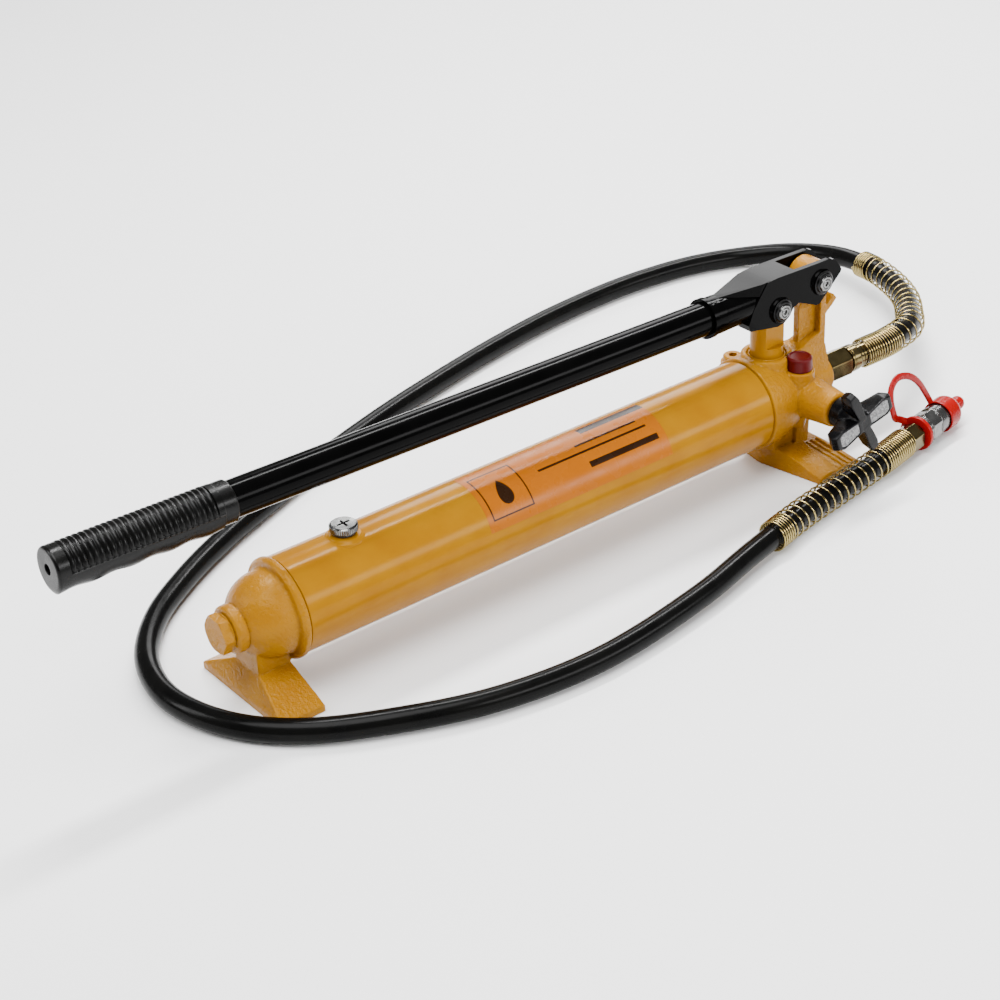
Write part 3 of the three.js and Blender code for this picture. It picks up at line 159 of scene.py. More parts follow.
class Track:
    """A line with its lengths, and two side directions carried along it without twisting."""

    def __init__(self, line, first_side=(0, 0, 1)):
        self.line = line
        self.lengths = [0]
        for a, b in zip(line, line[1:]):
            self.lengths.append(self.lengths[-1] + (b - a).length)
        self.length = self.lengths[-1]
        ends = [line[0]] + line + [line[-1]]
        self.tangents = [(b - a).normalized() for a, b in zip(ends, ends[2:])]
        side = Vector(first_side)
        self.sides = []
        for tangent in self.tangents:
            side = (side - tangent * side.dot(tangent)).normalized()
            self.sides.append(side.copy())

    def at(self, length):
        """The point, direction, side and other side at one length from the start."""
        length = min(max(length, 0), self.length)
        low, high = 0, len(self.line) - 1
        while high - low > 1:
            middle = (low + high) // 2
            if self.lengths[middle] <= length:
                low = middle
            else:
                high = middle
        part = (length - self.lengths[low]) / max(self.lengths[high] - self.lengths[low], 1e-9)
        point = self.line[low].lerp(self.line[high], part)
        tangent = self.tangents[low].lerp(self.tangents[high], part).normalized()
        side = self.sides[low].lerp(self.sides[high], part)
        side = (side - tangent * side.dot(tangent)).normalized()
        return point, tangent, side, tangent.cross(side)


hose_track = Track(spline(HOSE_ROUTE, 12))
HOSE_END = hose_track.line[-1]
COUPLER_DIRECTION = (HOSE_END - hose_track.at(hose_track.length - 4)[0]).normalized()
COUPLER_SIDE = Vector((0, 0, 1)).cross(COUPLER_DIRECTION).normalized()
COUPLER_UP = COUPLER_DIRECTION.cross(COUPLER_SIDE).normalized()


# ---------------------------------------------------------------- shapes: (corners, faces)
def join(*shapes):
    verts, faces = [], []
    for shape_verts, shape_faces in shapes:
        start = len(verts)
        verts += [tuple(v) for v in shape_verts]
        faces += [tuple(start + i for i in face) for face in shape_faces]
    return verts, faces


def place(shape, matrix):
    verts, faces = shape
    return [tuple(matrix @ Vector(v)) for v in verts], faces


def stand(origin, direction, turn=0):
    """Stands a shape that was made round +Z on a point, facing a direction."""
    facing = Vector(direction).to_track_quat("Z", "Y").to_matrix().to_4x4()
    return Matrix.Translation(Vector(origin)) @ facing @ Matrix.Rotation(math.radians(turn), 4, "Z")


def skin(loops, closed=False):
    """Faces between loops of equal length. Its two ends are capped, or joined when it is closed."""
    count = len(loops[0])
    verts = [tuple(v) for loop in loops for v in loop]
    faces = []
    last = len(loops) if closed else len(loops) - 1
    for row in range(last):
        low = row * count
        high = ((row + 1) % len(loops)) * count
        for i in range(count):
            j = (i + 1) % count
            faces.append((low + i, low + j, high + j, high + i))
    if not closed:
        faces.append(tuple(reversed(range(count))))
        faces.append(tuple(range(len(verts) - count, len(verts))))
    return verts, faces


def lathe(profile, closed=False, segments=96, radius_at=None):
    """A turned shape round +Z. Each profile corner is (distance along the axis, radius)."""
    loops = []
    for along, radius in profile:
        loop = []
        for i in range(segments):
            angle = 2 * math.pi * i / segments
            here = radius_at(angle, along, radius) if radius_at else radius
            loop.append((here * math.cos(angle), here * math.sin(angle), along))
        loops.append(loop)
    return skin(loops, closed)


def eased(profile, radius, closed):
    """The profile with each corner turned into a small arc."""
    steps = 4
    count = len(profile)
    result = []
    for i, corner in enumerate(profile):
        if not closed and i in (0, count - 1):
            result.append(corner)
            continue
        here = Vector(corner)
        before = Vector(profile[i - 1]) - here
        after = Vector(profile[(i + 1) % count]) - here
        if here.y < 1e-6 or before.length < 1e-6 or after.length < 1e-6:
            result.append(corner)
            continue
        start = here + before.normalized() * min(radius, before.length * 0.45)
        end = here + after.normalized() * min(radius, after.length * 0.45)
        for step in range(steps + 1):
            t = step / steps
            point = start * (1 - t) ** 2 + here * 2 * t * (1 - t) + end * t ** 2
            result.append((point.x, point.y))
    return result


def hull(points):
    mesh = bmesh.new()
    for point in points:
        mesh.verts.new(point)
    result = bmesh.ops.convex_hull(mesh, input=mesh.verts)
    loose = [v for v in result["geom_interior"] if isinstance(v, bmesh.types.BMVert)]
    loose += [v for v in mesh.verts if not v.link_faces]
    bmesh.ops.delete(mesh, geom=list(set(loose)), context="VERTS")
    mesh.verts.index_update()
    shape = [tuple(v.co) for v in mesh.verts], [tuple(v.index for v in f.verts) for f in mesh.faces]
    mesh.free()
    return shape


def both(half, places):
    """Corners at (x, z) places, once at each side of the middle plane."""
    return [(x, side * half, z) for side in (-1, 1) for x, z in places]


def block(low, high):
    return hull([(x, y, z) for x in (low[0], high[0]) for y in (low[1], high[1]) for z in (low[2], high[2])])


def rod(start, end, radius, segments=64, end_radius=None):
    length = (Vector(end) - Vector(start)).length
    shape = lathe([(0, radius), (length, radius if end_radius is None else end_radius)], segments=segments)
    return place(shape, stand(start, Vector(end) - Vector(start)))


def plate(outline, low_y, high_y):
    """A flat outline of (x, z) corners with some thickness along Y."""
    return skin([[(x, low_y, z) for x, z in outline], [(x, high_y, z) for x, z in outline]])


def turned(profile, rounding, closed=False, **more):
    """A turned shape with eased corners."""
    return lathe(eased(profile, rounding, closed), closed, **more)


def hexagon_radius(angle, flats):
    sixth = math.pi / 3
    off = (angle % sixth) - sixth / 2
    return flats / 2 / math.cos(off)


def hexagon(flats, low, high, chamfer_low=True):
    """A hexagon bar along +Z with its corners rounded and its ends chamfered like a nut."""
    corner = flats / math.sqrt(3)
    reach = corner - flats / 2 - 0.3
    rows = [i / 8 for i in range(9)]
    profile = []
    for part in rows:
        limit = flats / 2 + 0.3 + reach * part
        profile.append((low + reach * 0.55 * part, limit if chamfer_low else 99))
    for part in reversed(rows):
        limit = flats / 2 + 0.3 + reach * part
        profile.append((high - reach * 0.55 * part, limit))
    widest = corner - 0.12

    def radius_at(angle, along, limit):
        return min(hexagon_radius(angle, flats), limit, widest)

    return lathe(profile, segments=144, radius_at=radius_at)


# ---------------------------------------------------------------- mesh objects
def build(name, shape):
    """A mesh object from a shape in millimetres."""
    verts, faces = shape
    data = bpy.data.meshes.new(name)
    data.from_pydata([Vector(v) * MM for v in verts], [], faces)
    made = bmesh.new()
    made.from_mesh(data)
    bmesh.ops.remove_doubles(made, verts=made.verts, dist=1e-7)
    bmesh.ops.recalc_face_normals(made, faces=made.faces)
    made.to_mesh(data)
    made.free()
    item = bpy.data.objects.new(name, data)
    bpy.context.scene.collection.objects.link(item)
    return item


def modify(item, kind, **settings):
    """Adds a modifier and applies it at once."""
    modifier = item.modifiers.new(kind.lower(), kind)
    for key, value in settings.items():
        setattr(modifier, key, value)
    bpy.context.view_layer.update()
    graph = bpy.context.evaluated_depsgraph_get()
    data = bpy.data.meshes.new_from_object(item.evaluated_get(graph))
    item.modifiers.clear()
    old = item.data
    item.data = data
    bpy.data.meshes.remove(old)
    return item


def combine(item, shape, operation):
    other = build("tool", shape)
    modify(item, "BOOLEAN", object=other, operation=operation, solver="MANIFOLD")
    bpy.data.objects.remove(other)
    return item


def united(name, shapes, cuts):
    item = build(name, shapes[0])
    for shape in shapes[1:]:
        combine(item, shape, "UNION")
    for shape in cuts:
        combine(item, shape, "DIFFERENCE")
    return item


def cast(name, shapes, cuts, voxel, passes):
    """One casting: its parts joined, its inner corners filled and its edges rounded."""
    item = united(name, shapes, cuts)
    modify(item, "REMESH", mode="VOXEL", voxel_size=voxel * MM)
    modify(item, "SMOOTH", factor=0.5, iterations=passes)
    item.data.name = name
    return item


def shade(item, angle=38):
    for face in item.data.polygons:
        face.use_smooth = True
    item.data.set_sharp_from_angle(angle=math.radians(angle))
    return item


def crisp(item, width):
    """Small rounds on the edges of a machined or welded piece."""
    modify(
        item, "BEVEL", width=width * MM, segments=3, limit_method="ANGLE",
        angle_limit=math.radians(30), harden_normals=False, use_clamp_overlap=True,
    )
    return item


def finish_piece(item, body, slot, material, *nodes, angle=38):
    if item.type == "MESH":
        shade(item, angle)
        item.modifiers.new("weighted", "WEIGHTED_NORMAL").keep_sharp = True
    item.data.materials.clear()
    item.data.materials.append(material)
    if body:
        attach(item, body)
    if nodes:
        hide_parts(*nodes)
    return item


def tube_along(name, points, radius, sides):
    """A round cord or wire as a curve of one open line."""
    data = bpy.data.curves.new(name, "CURVE")
    data.dimensions = "3D"
    data.bevel_depth = radius * MM
    data.bevel_resolution = sides
    data.use_fill_caps = True
    line = data.splines.new("POLY")
    line.points.add(len(points) - 1)
    for target, point in zip(line.points, points):
        target.co = (*(Vector(point) * MM), 1)
    line.use_smooth = True
    item = bpy.data.objects.new(name, data)
    bpy.context.scene.collection.objects.link(item)
    return item


# ---------------------------------------------------------------- materials
class Nodes:
    """A material being put together."""

    def __init__(self, name):
        self.material = bpy.data.materials.new(name)
        self.material.use_nodes = True
        self.tree = self.material.node_tree
        self.shader = self.tree.nodes["Principled BSDF"]
        coordinates = self.tree.nodes.new("ShaderNodeTexCoord")
        self.place = coordinates.outputs["Object"]

    def add(self, kind, inputs=None, **settings):
        node = self.tree.nodes.new("ShaderNode" + kind)
        for key, value in settings.items():
            setattr(node, key, value)
        for key, value in (inputs or {}).items():
            if isinstance(value, bpy.types.NodeSocket):
                self.tree.links.new(value, node.inputs[key])
            else:
                node.inputs[key].default_value = value
        return node

    def noise(self, size, detail):
        """Soft noise whose features are about this many millimetres across."""
        made = self.add("TexNoise", {"Vector": self.place, "Scale": 1000 / size, "Detail": detail})
        return made.outputs["Fac"]

    def between(self, factor, low, high, start, end):
        made = self.add(
            "MapRange",
            {"Value": factor, "From Min": start, "From Max": end, "To Min": low, "To Max": high},
        )
        return made.outputs["Result"]

    def mix(self, factor, first, second):
        made = self.add("Mix", data_type="RGBA")
        for key, value in (("Factor", factor), ("A", first), ("B", second)):
            socket = next(s for s in made.inputs if s.name == key and s.enabled)
            if isinstance(value, bpy.types.NodeSocket):
                self.tree.links.new(value, socket)
            else:
                socket.default_value = value
        return next(s for s in made.outputs if s.name == "Result" and s.enabled)

    def maths(self, operation, *values):
        made = self.add("Math", operation=operation)
        for i, value in enumerate(values):
            if isinstance(value, bpy.types.NodeSocket):
                self.tree.links.new(value, made.inputs[i])
            else:
                made.inputs[i].default_value = value
        return made.outputs[0]

    def band(self, value, low, high, soft):
        """1 between low and high, 0 outside, with soft edges."""
        rise = self.between(value, 0, 1, low - soft, low)
        fall = self.between(value, 1, 0, high, high + soft)
        return self.maths("MULTIPLY", rise, fall)

    def bump(self, height, depth, below=None):
        """Relief this many millimetres deep, on top of an earlier one."""
        inputs = {"Height": height, "Distance": depth * MM, "Strength": 1.0}
        if below is not None:
            inputs["Normal"] = below
        return self.add("Bump", inputs).outputs[0]

    def link(self, key, value):
        if isinstance(value, bpy.types.NodeSocket):
            self.tree.links.new(value, self.shader.inputs[key])
        else:
            self.shader.inputs[key].default_value = value


def linear(red, green, blue):
    """A colour given as 0-255 screen values."""
    def one(value):
        value /= 255
        return value / 12.92 if value <= 0.04045 else ((value + 0.055) / 1.055) ** 2.4
    return one(red), one(green), one(blue), 1


def surface(
    name, dark, light, roughness, grain, metallic=0.0, shine=0.5, patch=25, edge=None, tint=None,
):
    """A finish with two colours in soft patches, uneven gloss, relief from (size, depth) noises, and painted
    shade in its hollows when an edge colour is given.
    """
    made = Nodes(name)
    patches = made.between(made.noise(patch, 4), 0, 1, 0.3, 0.7)
    colour = made.mix(patches, dark, light)
    # Painted shade: where the surface curves inwards (pointiness under 0.5), the colour fades to the edge
    # colour. This dark tone stands in for the shade in creases and hollows.
    if edge:
        point = made.add("NewGeometry").outputs["Pointiness"]
        colour = made.mix(made.between(point, 1, 0, 0.43, 0.495), colour, edge)
    made.link("Base Color", colour)
    made.link("Roughness", made.between(made.noise(patch / 3, 3), *roughness, 0.3, 0.7))
    relief = None
    for size, depth in grain:
        relief = made.bump(made.noise(size, 2), depth, relief)
    if relief is not None:
        made.link("Normal", relief)
    made.link("Metallic", metallic)
    made.link("Specular IOR Level", shine)
    if tint:
        made.link("Specular Tint", tint)
    return made


YELLOW_LIGHT = linear(153, 103, 0)
YELLOW_DARK = linear(143, 92, 0)
# Painted shade: the dark tone that the cast parts get in their hollows and creases.
YELLOW_HOLLOW_SHADE = linear(72, 34, 0)
YELLOW_GLEAM = (1, 0.8, 0.42, 1)

tube_paint = surface(
    "yellow_paint", YELLOW_DARK, YELLOW_LIGHT, (0.15, 0.21), [(16, 0.02), (0.9, 0.003)],
    shine=0.14, tint=YELLOW_GLEAM,
).material
# Cast paint: its hollows are darkened with painted shade.
cast_paint = surface(
    "cast_yellow_paint", YELLOW_DARK, YELLOW_LIGHT, (0.18, 0.27), [(2.2, 0.7), (1, 0.28)],
    shine=0.24, tint=YELLOW_GLEAM, edge=YELLOW_HOLLOW_SHADE,
).material
black_paint = surface(
    "black_paint", linear(2, 2, 2), linear(4, 4, 4), (0.12, 0.18), [(9, 0.02), (1, 0.002)], shine=0.035,
).material
grip_rubber = surface(
    "grip_rubber", linear(3, 3, 3), linear(8, 8, 7), (0.22, 0.34), [(0.7, 0.03), (0.25, 0.012)], shine=0.15,
).material
hose_rubber = surface(
    "hose_rubber", linear(5, 5, 5), linear(10, 10, 9), (0.18, 0.28), [(2.4, 0.015), (0.6, 0.004)], shine=0.06,
).material
seal_rubber = surface(
    "seal_rubber", linear(12, 12, 12), linear(22, 22, 22), (0.45, 0.6), [(0.5, 0.01)]
).material
black_plastic = surface(
    "black_plastic", linear(4, 4, 5), linear(8, 8, 9), (0.22, 0.32), [(0.6, 0.012)], shine=0.12,
).material
pad_plastic = surface(
    "black_plastic_grained", linear(40, 40, 41), linear(140, 140, 140), (0.4, 0.6),
    [(0.8, 0.16), (0.4, 0.06)],
    patch=1.1,
).material
red_plastic = surface(
    "red_plastic", linear(124, 0, 0), linear(140, 0, 2), (0.2, 0.3), [(2.5, 0.02), (0.5, 0.003)], shine=0.16,
).material
dark_red_plastic = surface(
    "dark_red_plastic", linear(64, 0, 1), linear(86, 0, 3), (0.32, 0.46), [(0.6, 0.012)], shine=0.15,
).material
bright_steel = surface(
    "bright_steel", linear(84, 84, 84), linear(136, 136, 134), (0.16, 0.28), [(1.2, 0.004)],
    metallic=1.0, patch=14,
).material
dark_steel = surface(
    "dark_steel", linear(22, 22, 22), linear(40, 40, 40), (0.22, 0.36), [(0.8, 0.004)],
    metallic=1.0, patch=10,
).material
yellow_zinc = surface(
    "yellow_zinc", linear(74, 64, 38), linear(122, 108, 70), (0.16, 0.26), [(2, 0.004)],
    metallic=1.0, patch=16,
).material
zinc_wire = surface(
    "yellow_zinc_wire", linear(138, 122, 74), linear(164, 147, 98), (0.16, 0.24), [(1.5, 0.001)],
    metallic=1.0, patch=30,
).material
copper = surface(
    "copper", linear(140, 70, 44), linear(176, 98, 66), (0.26, 0.4), [(0.8, 0.003)], metallic=1.0, patch=6,
).material


def mesh_material():
    made = surface(
        "brass_mesh", linear(150, 116, 52), linear(196, 158, 84), (0.35, 0.5), [], metallic=1.0, patch=5
    )
    weave = made.add("TexWave", {"Vector": made.place, "Scale": 500.0}, bands_direction="DIAGONAL")
    made.link("Normal", made.bump(weave.outputs["Fac"], 0.1))
    return made.material


brass_mesh = mesh_material()


# ---------------------------------------------------------------- camera, floor and lights
def studio():
    camera_data = bpy.data.cameras.new("camera")
    camera = bpy.data.objects.new("camera", camera_data)
    bpy.context.scene.collection.objects.link(camera)
    right = Vector((0.7869676, -0.6154505, -0.0436199))
    down = Vector((-0.3421394, -0.3764701, -0.8609361))
    forward = Vector((0.5134419, 0.6924529, -0.5068396))
    turn = Matrix((right, -down, -forward)).transposed().to_4x4()
    camera.matrix_world = Matrix.Translation((-0.93448, -0.92960, 0.73641)) @ turn
    camera_data.sensor_width = 36
    camera_data.lens = 79.363
    camera_data.shift_x = 0.0037
    camera_data.shift_y = 0.0032
    camera_data.clip_start = 0.05
    camera_data.clip_end = 60
    bpy.context.scene.camera = camera

    floor = build(
        "floor", hull([(x, y, z) for x in (-9000, 9000) for y in (-9000, 9000) for z in (-20, -0.05)])
    )
    made = surface(
        "floor_paint", linear(238, 238, 238), linear(240, 240, 240), (0.55, 0.62), [(8, 0.01)], patch=900
    )
    floor.data.materials.append(made.material)

    world = bpy.data.worlds.new("studio")
    world.use_nodes = True
    world.node_tree.nodes["Background"].inputs["Color"].default_value = (1, 1, 1, 1)
    world.node_tree.nodes["Background"].inputs["Strength"].default_value = 0.3
    bpy.context.scene.world = world

    def softbox(name, place, target, size, power):
        data = bpy.data.lights.new(name, "AREA")
        data.shape = "RECTANGLE"
        data.size, data.size_y = size
        data.energy = power
        light = bpy.data.objects.new(name, data)
        light.location = place
        direction = Vector(target) - Vector(place)
        light.rotation_mode = "QUATERNION"
        light.rotation_quaternion = direction.to_track_quat("-Z", "Y")
        bpy.context.scene.collection.objects.link(light)

    softbox("overhead_light", (-0.75, -0.25, 2.1), (-0.4, 0, 0), (1.8, 1.4), 95)
    softbox("long_light", (0.75, 0.62, 1.65), (0.75, 0, 0.05), (1.9, 0.16), 75)
    softbox("front_light", (0.6, -1.55, 0.8), (0.6, 0, 0.05), (1.9, 0.4), 32)
    softbox("back_light", (1.1, 1.5, 1.12), (0, 0, 0.1), (0.9, 0.7), 19)
    softbox("left_light", (-1.9, 0.9, 1.2), (-0.2, 0, 0.05), (0.5, 1.1), 26)


studio()


# ---------------------------------------------------------------- hose, guards and their ends
def hose_points(start, end, spacing):
    count = max(2, round((end - start) / spacing))
    return [hose_track.at(start + (end - start) * i / count)[0] for i in range(count + 1)]


def guard_points(start, end, tight_start, tight_end, open_pitch, stretch=0.0):
    """The wire's middle line: close turns at both ends, and open turns that stretch towards the middle."""
    points = []
    phase = 0
    step = 0.12
    count = round((end - start) / step)
    since_point = 0
    for i in range(count + 1):
        along = (end - start) * i / count
        from_start = min(max((along - tight_start) / PITCH_CHANGE, 0), 1)
        from_end = min(max((end - start - along - tight_end) / PITCH_CHANGE, 0), 1)
        middle = math.sin(math.pi * i / count) ** 2
        pitch = TIGHT_PITCH + (open_pitch * (1 + stretch * middle) - TIGHT_PITCH) * min(from_start, from_end)
        turn = 2 * math.pi * (end - start) / count / pitch
        phase += turn
        since_point += turn
        if since_point >= math.pi / 15 or i in (0, count):
            since_point = 0
            point, _, side, other = hose_track.at(start + along)
            points.append(point + (side * math.cos(phase) + other * math.sin(phase)) * GUARD_MIDDLE)
    return points


def coupler_place(along, turn=0):
    return stand(HOSE_END + COUPLER_DIRECTION * along, COUPLER_DIRECTION, turn)


def coupler_pieces():
    pieces = {}
    nut = hexagon(17, -2.3, 10)
    collar = turned([(9.4, 0), (9.4, 7.2), (11, 7.2), (11.4, 5.2), (22, 5.2), (22, 0)], 0.4)
    flange = turned([(-3.4, 7.9), (-3.4, 9.3), (-2, 9.3), (-2, 7.9)], 0.4, closed=True)
    pieces["coupler_nut"] = build("coupler_nut_hex", place(join(nut, collar, flange), coupler_place(0, 30)))

    shoulder = turned(
        [
            (16.4, 5.5), (16.4, 9.2), (16.8, 10.2), (17.6, 10.2), (17.7, 9.8), (18.1, 9.8),
            (18.2, 10.2), (19.1, 10.2), (19.2, 9.8), (19.6, 9.8), (19.7, 10.2), (20.6, 10.2),
            (21.2, 9), (21.2, 5.5),
        ],
        0.12, closed=True,
    )
    hexed = hexagon(19, 20.8, 31.4)
    barrel = turned(
        [
            (30.6, 0), (30.6, 9.6), (31.2, 9.6), (31.4, 10.4), (33.6, 10.4), (34, 9.9), (40, 9.9),
            (51, 9.9), (52, 8.9), (52, 0),
        ],
        0.3,
    )
    pieces["coupler_body"] = build(
        "coupler_body_steel", place(join(shoulder, hexed, barrel), coupler_place(0, 30))
    )

    cap = turned(
        [
            (0, 10.2), (0, 11.2), (0.5, 11.4), (11, 11.4), (13.2, 10.5), (15.4, 8.4), (17.6, 5.5),
            (18.6, 4.5), (19.8, 4.1), (21.4, 4.15), (22.6, 4.6), (24.6, 5), (26.6, 4.8),
            (28.6, 3.7), (29.7, 2), (30, 0.01), (12, 0.01), (12, 10.2),
        ],
        0.7, closed=True,
    )
    pieces["dust_cap"] = build("dust_cap_shell", place(cap, coupler_place(CAP_START)))

    ferrule = turned(
        [
            (-22, FERRULE_BORE), (-22, FERRULE_NECK), (-5.4, FERRULE_NECK),
            (-5, FERRULE_RADIUS), (-2.8, FERRULE_RADIUS), (-2.8, FERRULE_BORE),
        ],
        0.1, closed=True,
    )
    pieces["coupler_ferrule"] = build("coupler_ferrule_sleeve", place(ferrule, coupler_place(0)))
    return pieces


def strap_piece():
    def at(along, sideways, upwards):
        return HOSE_END + COUPLER_DIRECTION * along + COUPLER_SIDE * sideways + COUPLER_UP * upwards

    eye = turned([(12.2, 7), (12.2, 12.2), (15.2, 12.2), (15.2, 7)], 0.7, closed=True)
    track = Track(spline([at(*p) for p in STRAP_LOOP], 10), first_side=COUPLER_SIDE)
    loops = []
    rows = 110
    for i in range(rows + 1):
        point, _, side, other = track.at(track.length * i / rows)
        loop = []
        for j in range(20):
            angle = 2 * math.pi * j / 20
            across = math.copysign(abs(math.cos(angle)) ** 0.5, math.cos(angle)) * 1.1
            wide = math.copysign(abs(math.sin(angle)) ** 0.5, math.sin(angle)) * 2.4
            loop.append(point + side * across + other * wide)
        loops.append(loop)
    return build("cap_strap_loop", join(place(eye, coupler_place(0)), skin(loops)))


def hose_assembly():
    hose = tube_along("hose_rubber", hose_points(0, hose_track.length, 4), HOSE_RADIUS, 12)
    finish_piece(hose, "base", "hose_rubber", hose_rubber, "hose")

    outlet_guard = tube_along(
        "outlet_guard_wire",
        guard_points(*OUTLET_GUARD, 31, 12, OUTLET_OPEN_PITCH, OUTLET_STRETCH),
        GUARD_WIRE, 4,
    )
    finish_piece(outlet_guard, "base", "yellow_zinc", zinc_wire, "outlet_guard")
    guard_end = hose_track.length - 3
    coupler_guard = tube_along(
        "coupler_guard_wire",
        guard_points(guard_end - COUPLER_GUARD_LENGTH, guard_end, 12, 29, COUPLER_OPEN_PITCH),
        GUARD_WIRE, 4,
    )
    finish_piece(coupler_guard, "base", "yellow_zinc", zinc_wire, "coupler_guard")

    ferrule = turned(
        [
            (0, FERRULE_BORE), (0, FERRULE_RADIUS), (3.4, FERRULE_RADIUS),
            (3.8, FERRULE_NECK), (18.4, FERRULE_NECK), (18.4, FERRULE_BORE),
        ],
        0.1, closed=True,
    )
    outlet_ferrule = build(
        "outlet_ferrule_sleeve", place(ferrule, stand((FERRULE_START, 0, AXIS_Z), (1, 0, 0)))
    )
    finish_piece(outlet_ferrule, "base", "yellow_zinc", yellow_zinc, "outlet_ferrule")

    pieces = coupler_pieces()
    slots = {
        "coupler_nut": ("base", "yellow_zinc", yellow_zinc),
        "coupler_ferrule": ("base", "yellow_zinc", yellow_zinc),
        "coupler_body": ("base", "bright_steel", bright_steel),
        "dust_cap": ("cap", "red_plastic", red_plastic),
    }
    for node, (body, slot, material) in slots.items():
        finish_piece(pieces[node], body, slot, material, node)
    strap = strap_piece()
    shade(strap)
    strap.data.materials.append(red_plastic)
    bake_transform(strap)
    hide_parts("cap_strap")


hose_assembly()


# ---------------------------------------------------------------- reservoir
def reservoir():
    length = HEAD_SEAM_X - CAP_SEAM_X
    tube = turned(
        [(0, 27), (0, TUBE_RADIUS), (length, TUBE_RADIUS), (length, 27)],
        0.5, closed=True, segments=160,
    )
    top = AXIS_Z + TUBE_RADIUS
    boss = turned(
        [(-2.6, 4), (-2.6, 12.4), (-0.9, 12), (-0.1, 10.8), (0.3, 10.1), (0.9, 9.7), (0.9, 4)],
        0.5, closed=True,
    )
    item = build(
        "reservoir_tube_paint",
        join(
            place(tube, stand((CAP_SEAM_X, 0, AXIS_Z), (1, 0, 0))),
            place(boss, stand((FILLER_X, 0, top), (0, 0, 1)))
        ),
    )
    finish_piece(item, "base", "yellow_paint", tube_paint, "reservoir_tube")

    seat = top + 0.9 + 1.6 + 0.3
    screw = united(
        "filler_screw_head",
        [
            turned(
                [(-9, 0), (-9, 3.2), (0, 3.2), (0, 7.8), (0.7, 8.4), (3.7, 8.4), (4.6, 7.4), (4.6, 0)],
                0.3, segments=240, radius_at=lambda angle, along, radius: radius + (
                    0.2 * math.cos(angle * 40) if 0.5 < along < 4 and radius > 8.2 else 0
                ),
            ),
        ],
        [
            hull([
                (x * k, y * k, z)
                for k, z in ((0.7, 2.2), (1.15, 5)) for x in (-4, 4) for y in (-0.75, 0.75)
            ]),
            hull([
                (x * k, y * k, z)
                for k, z in ((0.7, 2.2), (1.15, 5)) for x in (-0.75, 0.75) for y in (-4, 4)
            ]),
        ],
    )
    screw.data.transform(Matrix.Translation(Vector((FILLER_X, 0, seat)) * MM))
    finish_piece(screw, "filler", "bright_steel", bright_steel, "filler_screw", angle=30)

    ring = lathe(
        [(0.8 * math.sin(a), 6.4 + 0.8 * math.cos(a)) for a in [i * math.pi / 8 for i in range(16)]],
        closed=True
    )
    seal = build("filler_seal_ring", place(ring, stand((FILLER_X, 0, top + 2), (0, 0, 1))))
    finish_piece(seal, "base", "seal_rubber", seal_rubber, "filler_seal")


def rear_end():
    front = CAP_SEAM_X - 0.3
    profile = [
        (-12, 0), (-12, 26.5), (0.4, 26.5), (0.4, 30.6), (1, 31.4), (3.9, 31.2), (5.5, 29.6),
        (5.5, 27.4), (6.2, 26.4)
    ]
    steps = 24
    limit = math.radians(62)
    for i in range(steps + 1):
        angle = i / steps * limit
        along = 9.5 + 22 * math.sin(angle) / math.sin(limit)
        profile.append((along, 26 * math.cos(angle) + 2 * (1 - math.cos(angle))))
    profile += [(32.2, 14.9), (37.3, 14.5), (38.5, 13.1), (38.5, 0)]
    dome = place(lathe(profile, segments=128), stand((front, 0, AXIS_Z), (-1, 0, 0)))
    middle = REAR_FOOT_FRONT - REAR_FOOT_LENGTH / 2
    back = REAR_FOOT_FRONT - REAR_FOOT_LENGTH
    foot = hull(
        both(
            REAR_FOOT_HALF_WIDTH,
            [(back, 0), (back, FOOT_EDGE), (REAR_FOOT_FRONT, 0), (REAR_FOOT_FRONT, FOOT_EDGE)]
        )
        + both(12.5, [(middle - 9, 20), (middle + 13, 20)])
    )
    neck = block((middle - 9, -12.5, 19), (middle + 13, 12.5, 40))
    relief = block(
        (back + 5, -REAR_FOOT_HALF_WIDTH + 6, -1), (REAR_FOOT_FRONT - 5, REAR_FOOT_HALF_WIDTH - 6, 1.5),
    )
    item = cast("rear_cap_casting", [dome, foot, neck], [relief], 0.6, 5)
    finish_piece(item, "base", "cast_yellow_paint", cast_paint, "rear_cap", angle=180)

    face = front - 38.5 - 0.3
    plug = join(
        turned([(0, 0), (0, 11.4), (1, 11.4), (1.4, 10.6), (1.4, 0)], 0.3),
        hexagon(21.5, 1.2, 7, chamfer_low=False),
    )
    item = build("rear_plug_hex", place(plug, stand((face, 0, AXIS_Z), (-1, 0, 0))))
    finish_piece(item, "base", "cast_yellow_paint", cast_paint, "rear_plug", angle=30)


